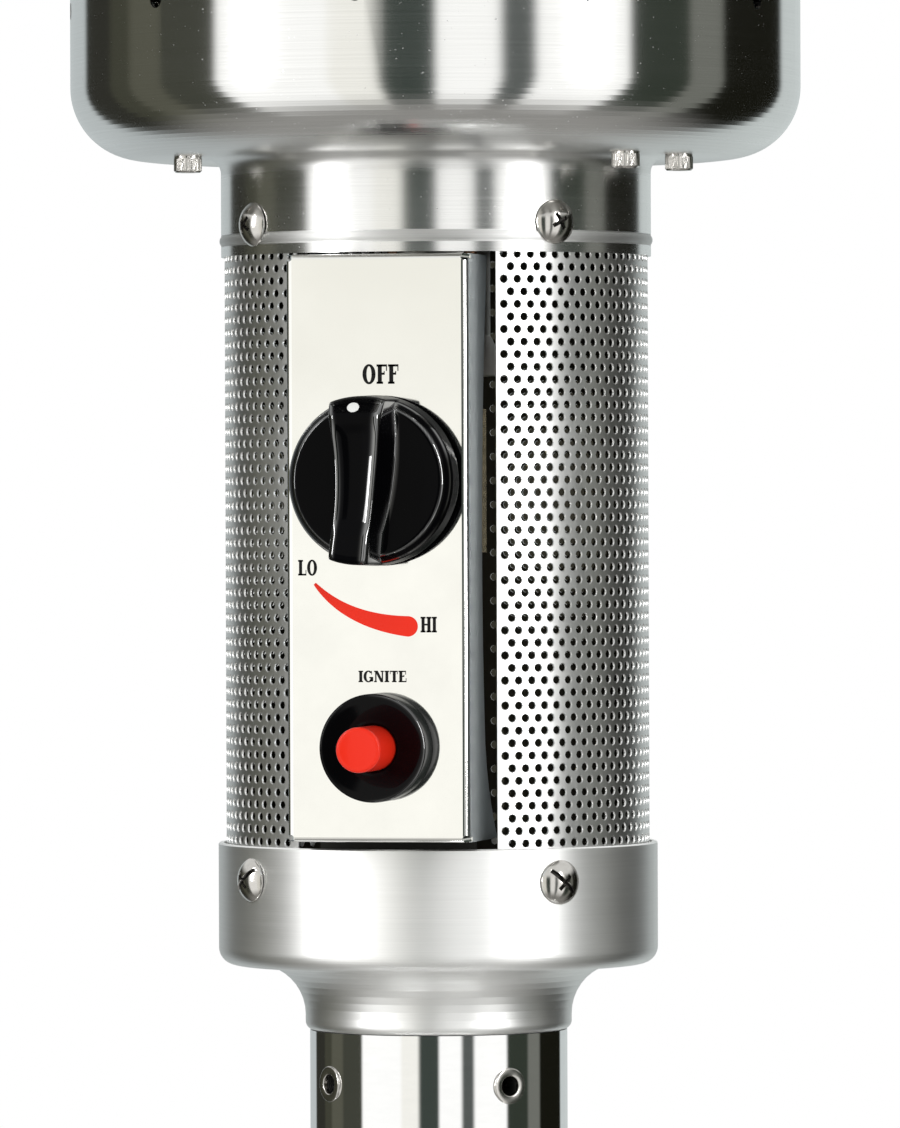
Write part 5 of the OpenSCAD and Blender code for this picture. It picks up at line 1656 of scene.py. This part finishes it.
@dataclass
class Studio:
    """Camera, soft light, white cards with dark gaps between them, and a pale floor.

    Each card starts at a compass angle, in degrees from the camera, and ends where the next one starts.
    The low and high fades are spans of the upward part of a reflection's direction. The floor fades from
    floor_near, in metres, to floor_far, a share of its radius.
    """

    azimuth: float = 12.2
    distance: float = 2.635
    eye_height: float = 0.4556
    aim_right: float = 0.0038
    aim_height: float = 0.4366
    roll: float = -0.20
    lens: float = 284.0
    sensor: float = 36.0
    cards: tuple[tuple[float, Colour], ...] = (
        (-180.0, (0.51, 0.55, 0.555)),
        (-144.0, (0.030, 0.030, 0.024)),
        (-124.0, (0.055, 0.056, 0.040)),
        (-112.0, (0.10, 0.10, 0.075)),
        (-96.0, (0.055, 0.057, 0.044)),
        (-73.0, WHITE_CARD),
        (-34.0, (1.0, 0.99, 0.93)),
        (-17.8, (0.050, 0.062, 0.054)),
        (0.0, WHITE_CARD),
        (20.5, (0.10, 0.11, 0.105)),
        (31.5, WHITE_CARD),
        (63.5, (0.034, 0.042, 0.032)),
        (87.0, (0.17, 0.175, 0.155)),
        (102.5, (0.008, 0.008, 0.005)),
        (140.0, (0.58, 0.625, 0.62)),
    )
    softness: float = 1.4
    low_fade: tuple[float, float] = (-0.52, -0.92)
    low_tone: Colour = (0.30, 0.295, 0.28)
    high_fade: tuple[float, float] = (0.22, 0.50)
    high_tone: Colour = (0.92, 0.93, 0.92)
    soft_light: Colour = (0.52, 0.53, 0.52)
    flag_half: float = 1.27
    flag_low: float = -2.8
    flag_high: float = 1.85
    flag_edge: float = 0.05
    flag_tone: Colour = (0.032, 0.03, 0.022)
    strips: tuple[tuple[str, float, float], ...] = (("left_strip", -58.0, 26.0), ("right_strip", 48.0, 26.0))
    strip_size: tuple[float, float] = (0.32, 1.5)
    strip_distance: float = 2.4
    strip_height: float = 1.05
    softbox_spot: Triple = (0.5, 2.0, 2.2)
    softbox_size: tuple[float, float] = (1.6, 1.6)
    softbox_power: float = 10.0
    lamps_aim: Triple = (0.0, 0.0, 0.45)
    floor_radius: float = 2.2
    floor_drop: float = -0.0004
    floor_tint: Colour = (0.82, 0.82, 0.81)
    floor_near: float = 0.35
    floor_far: float = 0.85

    def _axes(self) -> tuple[Vector, Vector]:
        """Level directions from the object towards the camera and to the camera's right."""
        a = math.radians(self.azimuth)
        return Vector((math.sin(a), -math.cos(a), 0.0)), Vector((math.cos(a), math.sin(a), 0.0))

    def build(self) -> None:
        """Makes the camera, the world, the lamps and the floor."""
        self._camera()
        self._world()
        for name, beside, power in self.strips:
            a = math.radians(self.azimuth + beside)
            spot = (self.strip_distance * math.sin(a), -self.strip_distance * math.cos(a), self.strip_height)
            self._lamp(name, spot, self.strip_size, power)
        softbox = self._lamp("back_softbox", self.softbox_spot, self.softbox_size, self.softbox_power)
        softbox.visible_glossy = False
        self._floor()

    def _camera(self) -> None:
        """Places the camera at the photograph's angle, level but for a slight tilt and roll."""
        towards, right = self._axes()
        eye = towards * self.distance + Vector((0.0, 0.0, self.eye_height))
        aim = right * self.aim_right + Vector((0.0, 0.0, self.aim_height))
        data = bpy.data.cameras.new("photo_camera")
        data.lens, data.sensor_width, data.dof.use_dof = self.lens, self.sensor, False
        data.clip_start, data.clip_end = 0.1, 100.0
        camera = bpy.data.objects.new("photo_camera", data)
        look = (aim - eye).to_track_quat("-Z", "Y").to_matrix().to_4x4()
        roll = Matrix.Rotation(math.radians(self.roll), 4, "Z")
        camera.matrix_world = Matrix.Translation(eye) @ look @ roll
        bpy.context.scene.collection.objects.link(camera)
        bpy.context.scene.camera = camera

    def _world(self) -> None:
        """White to the eye; cards and gaps by compass direction for reflections, greyer towards the floor.

        A dark flag hangs behind the pierced wrap.
        """
        board = Board(bpy.data.worlds.new("studio"))
        bpy.context.scene.world = board.owner
        way = board.node("ShaderNodeTexCoord", out="Generated")
        dot = {"operation": "DOT_PRODUCT"}
        ahead, right = (board.node("ShaderNodeVectorMath", dot, {0: way, 1: a}, out=1) for a in self._axes())
        up = board.node("ShaderNodeSeparateXYZ", None, {0: way}, out=2)
        degrees = right.maths("ARCTAN2", right, ahead) * math.degrees(1.0)
        edges = []
        for (start, colour), (_, before) in zip(self.cards[1:], self.cards[:-1]):
            edges.append(((start - self.softness + 180) / 360, before))
            edges.append(((start + self.softness + 180) / 360, colour))
        cards = board.node("ShaderNodeValToRGB", {"stops": edges}, {0: degrees / 360.0 + 0.5})
        low = board.blend(up.step(*self.low_fade), cards, self.low_tone)
        mirrored = board.blend(up.step(*self.high_fade), low, self.high_tone)
        behind = degrees.maths("ABSOLUTE", degrees) - 180.0
        rise = up.maths("ARCSINE", up) * math.degrees(1.0)
        flag = behind.step(-self.flag_half - self.flag_edge, -self.flag_half)
        flag = flag * rise.step(self.flag_low - self.flag_edge, self.flag_low)
        flag = flag * rise.step(self.flag_high + self.flag_edge, self.flag_high)
        kinds = ("Camera", "Transmission", "Glossy")
        camera, through, glossy = (board.node("ShaderNodeLightPath", out=f"Is {kind} Ray") for kind in kinds)
        backdrop = board.blend(flag, (1.0, 1.0, 1.0), self.flag_tone)
        shown = board.blend(glossy, backdrop, mirrored)
        soft = board.node("ShaderNodeBackground", None, {0: (*self.soft_light, 1.0), 1: 1.0})
        white = board.node("ShaderNodeBackground", None, {0: shown, 1: 1.0})
        seen = (camera + through + glossy).clamp()
        mixed = board.node("ShaderNodeMixShader", None, {0: seen, 1: soft, 2: white})
        board.node("ShaderNodeOutputWorld", None, {"Surface": mixed})

    def _lamp(self, name: str, spot: Triple, size: tuple[float, float], power: float) -> bpy.types.Object:
        """Adds a soft lamp that points at the control head and that the camera doesn't see.

        Args:
            name: name of the lamp.
            spot: where it stands.
            size: its width and height.
            power: its power in watts.

        Returns:
            The lamp.
        """
        data = bpy.data.lights.new(name, "AREA")
        data.shape, data.size, data.size_y, data.energy = "RECTANGLE", *size, power
        lamp = bpy.data.objects.new(name, data)
        aim = Vector(self.lamps_aim) - Vector(spot)
        lamp.matrix_world = Matrix.Translation(spot) @ aim.to_track_quat("-Z", "Y").to_matrix().to_4x4()
        lamp.visible_camera = False
        bpy.context.scene.collection.objects.link(lamp)
        return lamp

    def _floor(self) -> None:
        """A pale round floor that keeps the shadow and fades into the white round it."""
        place = Place.level(self.floor_drop / MM)
        disc = Shell().turned([[0.0, 0.0], [self.floor_radius / MM, 0.0]], place, 96)
        mesh = bpy.data.meshes.new("studio_floor")
        mesh.from_pydata(np.concatenate(disc.points).tolist(), [], np.concatenate(disc.faces).tolist())
        floor = bpy.data.objects.new("studio_floor", mesh)
        bpy.context.scene.collection.objects.link(floor)
        board = Board(bpy.data.materials.new("pale_floor"))
        share = board.length().step(self.floor_near, self.floor_far * self.floor_radius)
        matt = board.node("ShaderNodeBsdfDiffuse", None, {0: (*self.floor_tint, 1.0)})
        glow = board.node("ShaderNodeEmission", None, {0: (1.0, 1.0, 1.0, 1.0), 1: 1.0})
        both = board.node("ShaderNodeMixShader", None, {0: share, 1: matt, 2: glow})
        board.node("ShaderNodeOutputMaterial", None, {"Surface": both})
        mesh.materials.append(board.owner)
        floor.visible_glossy = False


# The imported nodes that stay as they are, by finish


KEPT: dict[str, tuple[str, ...]] = {
    "rubber": ("rubber_feet", "inlet_saddle"),
    "black_paint": ("base_plate", "post_socket"),
    "brushed_steel": ("base_cover", "burner_drum", "upper_collar", "drum_lid", "rod_spacers", "emitter_cap"),
    "polished_steel": ("post", "post_ring"),
    "satin_aluminium": ("post_adapter", "lower_cup"),
    "panel_steel": ("control_panel",),
    "zinc_steel": (
        "socket_bolts", "control_bracket", "drum_ring", "wrap_nuts", "rod_nuts", "valve_stem", "stem_seat",
        "adapter_screws", "flange_screws", "bracket_screws", "pilot_screws", "tie_rods", "reflector_washers",
        "wing_nuts",
    ),
    "screw_steel": ("lid_screws",),
    "brass": ("gas_inlet", "inlet_locknut", "injector", "pilot_burner", "valve_body"),
    "copper": ("supply_tube",),
    "black_plastic": ("igniter_body",),
    "white_ceramic": ("spark_electrode",),
    "heat_steel": ("burner_head", "pilot_bracket", "mixer_tube"),
    "reflector_aluminium": ("reflector",),
}

LEAD_END = ((DRUM_HIGH - 18, LEAD_Y), (LID_TOP - 4, LEAD_Y), (LID_TOP, LEAD_Y))


def head_tubes() -> list[Tube]:
    """The lead and the two tubes that run up inside the head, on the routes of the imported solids.

    Returns:
        The three of them, in the order in which they are made.
    """
    lead = (
        (0, -IGNITER_BACK, IGNITER_Z), (0, -IGNITER_BACK + 6, IGNITER_Z), (-10, -20, IGNITER_Z + 8),
        (-26, -18, IGNITER_Z + 30), (-31, -20, KNOB_Z), (-30, -28, COLLAR_LOW), (-22, -36, DRUM_LOW),
        (-14, -58, DRUM_LOW + 45), *((-PILOT_X, y, z) for z, y in LEAD_END),
    )
    pilot = (
        (12, -36, VALVE_TOP), (12, -36, VALVE_TOP + 12), (18, -36, COLLAR_LOW), (18, -36, DRUM_LOW),
        (13, -58, DRUM_LOW + 45), *((PILOT_X, y, z) for z, y in LEAD_END),
    )
    couple = (
        (-8, -38, VALVE_TOP), (-8, -38, VALVE_TOP + 12), (-4, -42, COLLAR_LOW), (-2, -40, DRUM_LOW),
        (0, -58, DRUM_LOW + 45), (0, LEAD_Y, DRUM_HIGH - 18), (0, LEAD_Y, LID_TOP - 4),
        (0, LEAD_Y, LID_TOP + 12), (0, LEAD_Y, LID_TOP + 28),
    )
    return [
        Tube("spark_lead", "igniter_lead", "rubber", 3.6, lead),
        Tube("pilot_line", "pilot_tube", "copper", 4.0, pilot),
        Tube("thermocouple_line", "thermocouple", "copper", 3.0, couple),
    ]


def main() -> None:
    """Builds the studio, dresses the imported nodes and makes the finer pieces."""
    logging.basicConfig(level=logging.INFO, format="%(name)s: %(message)s")
    Studio().build()
    for slot, nodes in KEPT.items():
        for node in nodes:
            PAINTS.dress(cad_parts[node], slot)
            LOG.info("%s: packed node in %s", node, slot)
    for side, start, hug in (("right", 28.2, 0.14), ("left", 180.0, 0.86)):
        PiercedSheet(
            f"pierced_wrap_{side}", "perforated_wrap", "wrap_steel", radius=WRAP_RADIUS, thickness=0.8,
            start=start, sweep=151.8, low=323.3, high=541.5, pitch=4.19, row=3.635, hole=2.3,
            side_margin=0.3, end_margin=4.0, shift=-0.1, lip=0.2, hug=hug,
        ).build()
    PiercedSheet(
        "pierced_emitter", "emitter_screen", "heat_steel", radius=90.0, thickness=1.0, start=180.0,
        sweep=360.0, low=LID_TOP, high=798.0, pitch=8.0, row=6.9, hole=5.0, side_margin=0.0, end_margin=6.0,
    ).build()
    Knob().build()
    Igniter().build()
    TrussScrews(
        "collar_truss_screws", "collar_screws", seat=63.6, height=536.2, turns=(28.0, 70.0, 15.0, -38.0),
        slotted=False,
    ).build()
    TrussScrews(
        "cup_truss_screws", "cup_screws", seat=65.0, height=344.6, turns=(-42.0, 15.0, 80.0, 38.0),
        slotted=True,
    ).build()
    TrussScrews(
        "post_truss_screws", "post_screws", seat=POST_RADIUS, height=51.0, turns=(12.0, 64.0, -30.0, 88.0),
        slotted=True, head=10.5, dome=3.0, length=6.5,
    ).build()
    SocketScrews().build()
    PostInserts().build()
    Spring(
        "stem_coil", "stem_spring", "knob_push", back=60.14, front=72.2, height=KNOB_Z, radius=5.85,
        wire=0.9, turns=5, travel=3.0,
    ).build()
    Spring(
        "button_coil", "igniter_spring", "button_push", back=43.8, front=BUTTON_BACK, height=IGNITER_Z,
        radius=4.7, wire=0.8, turns=9, travel=8.0,
    ).build()
    for tube in head_tubes():
        tube.build()
    Legends().build()
    bpy.context.scene.view_settings.view_transform = "Standard"


if __name__ == "__main__":
    main()
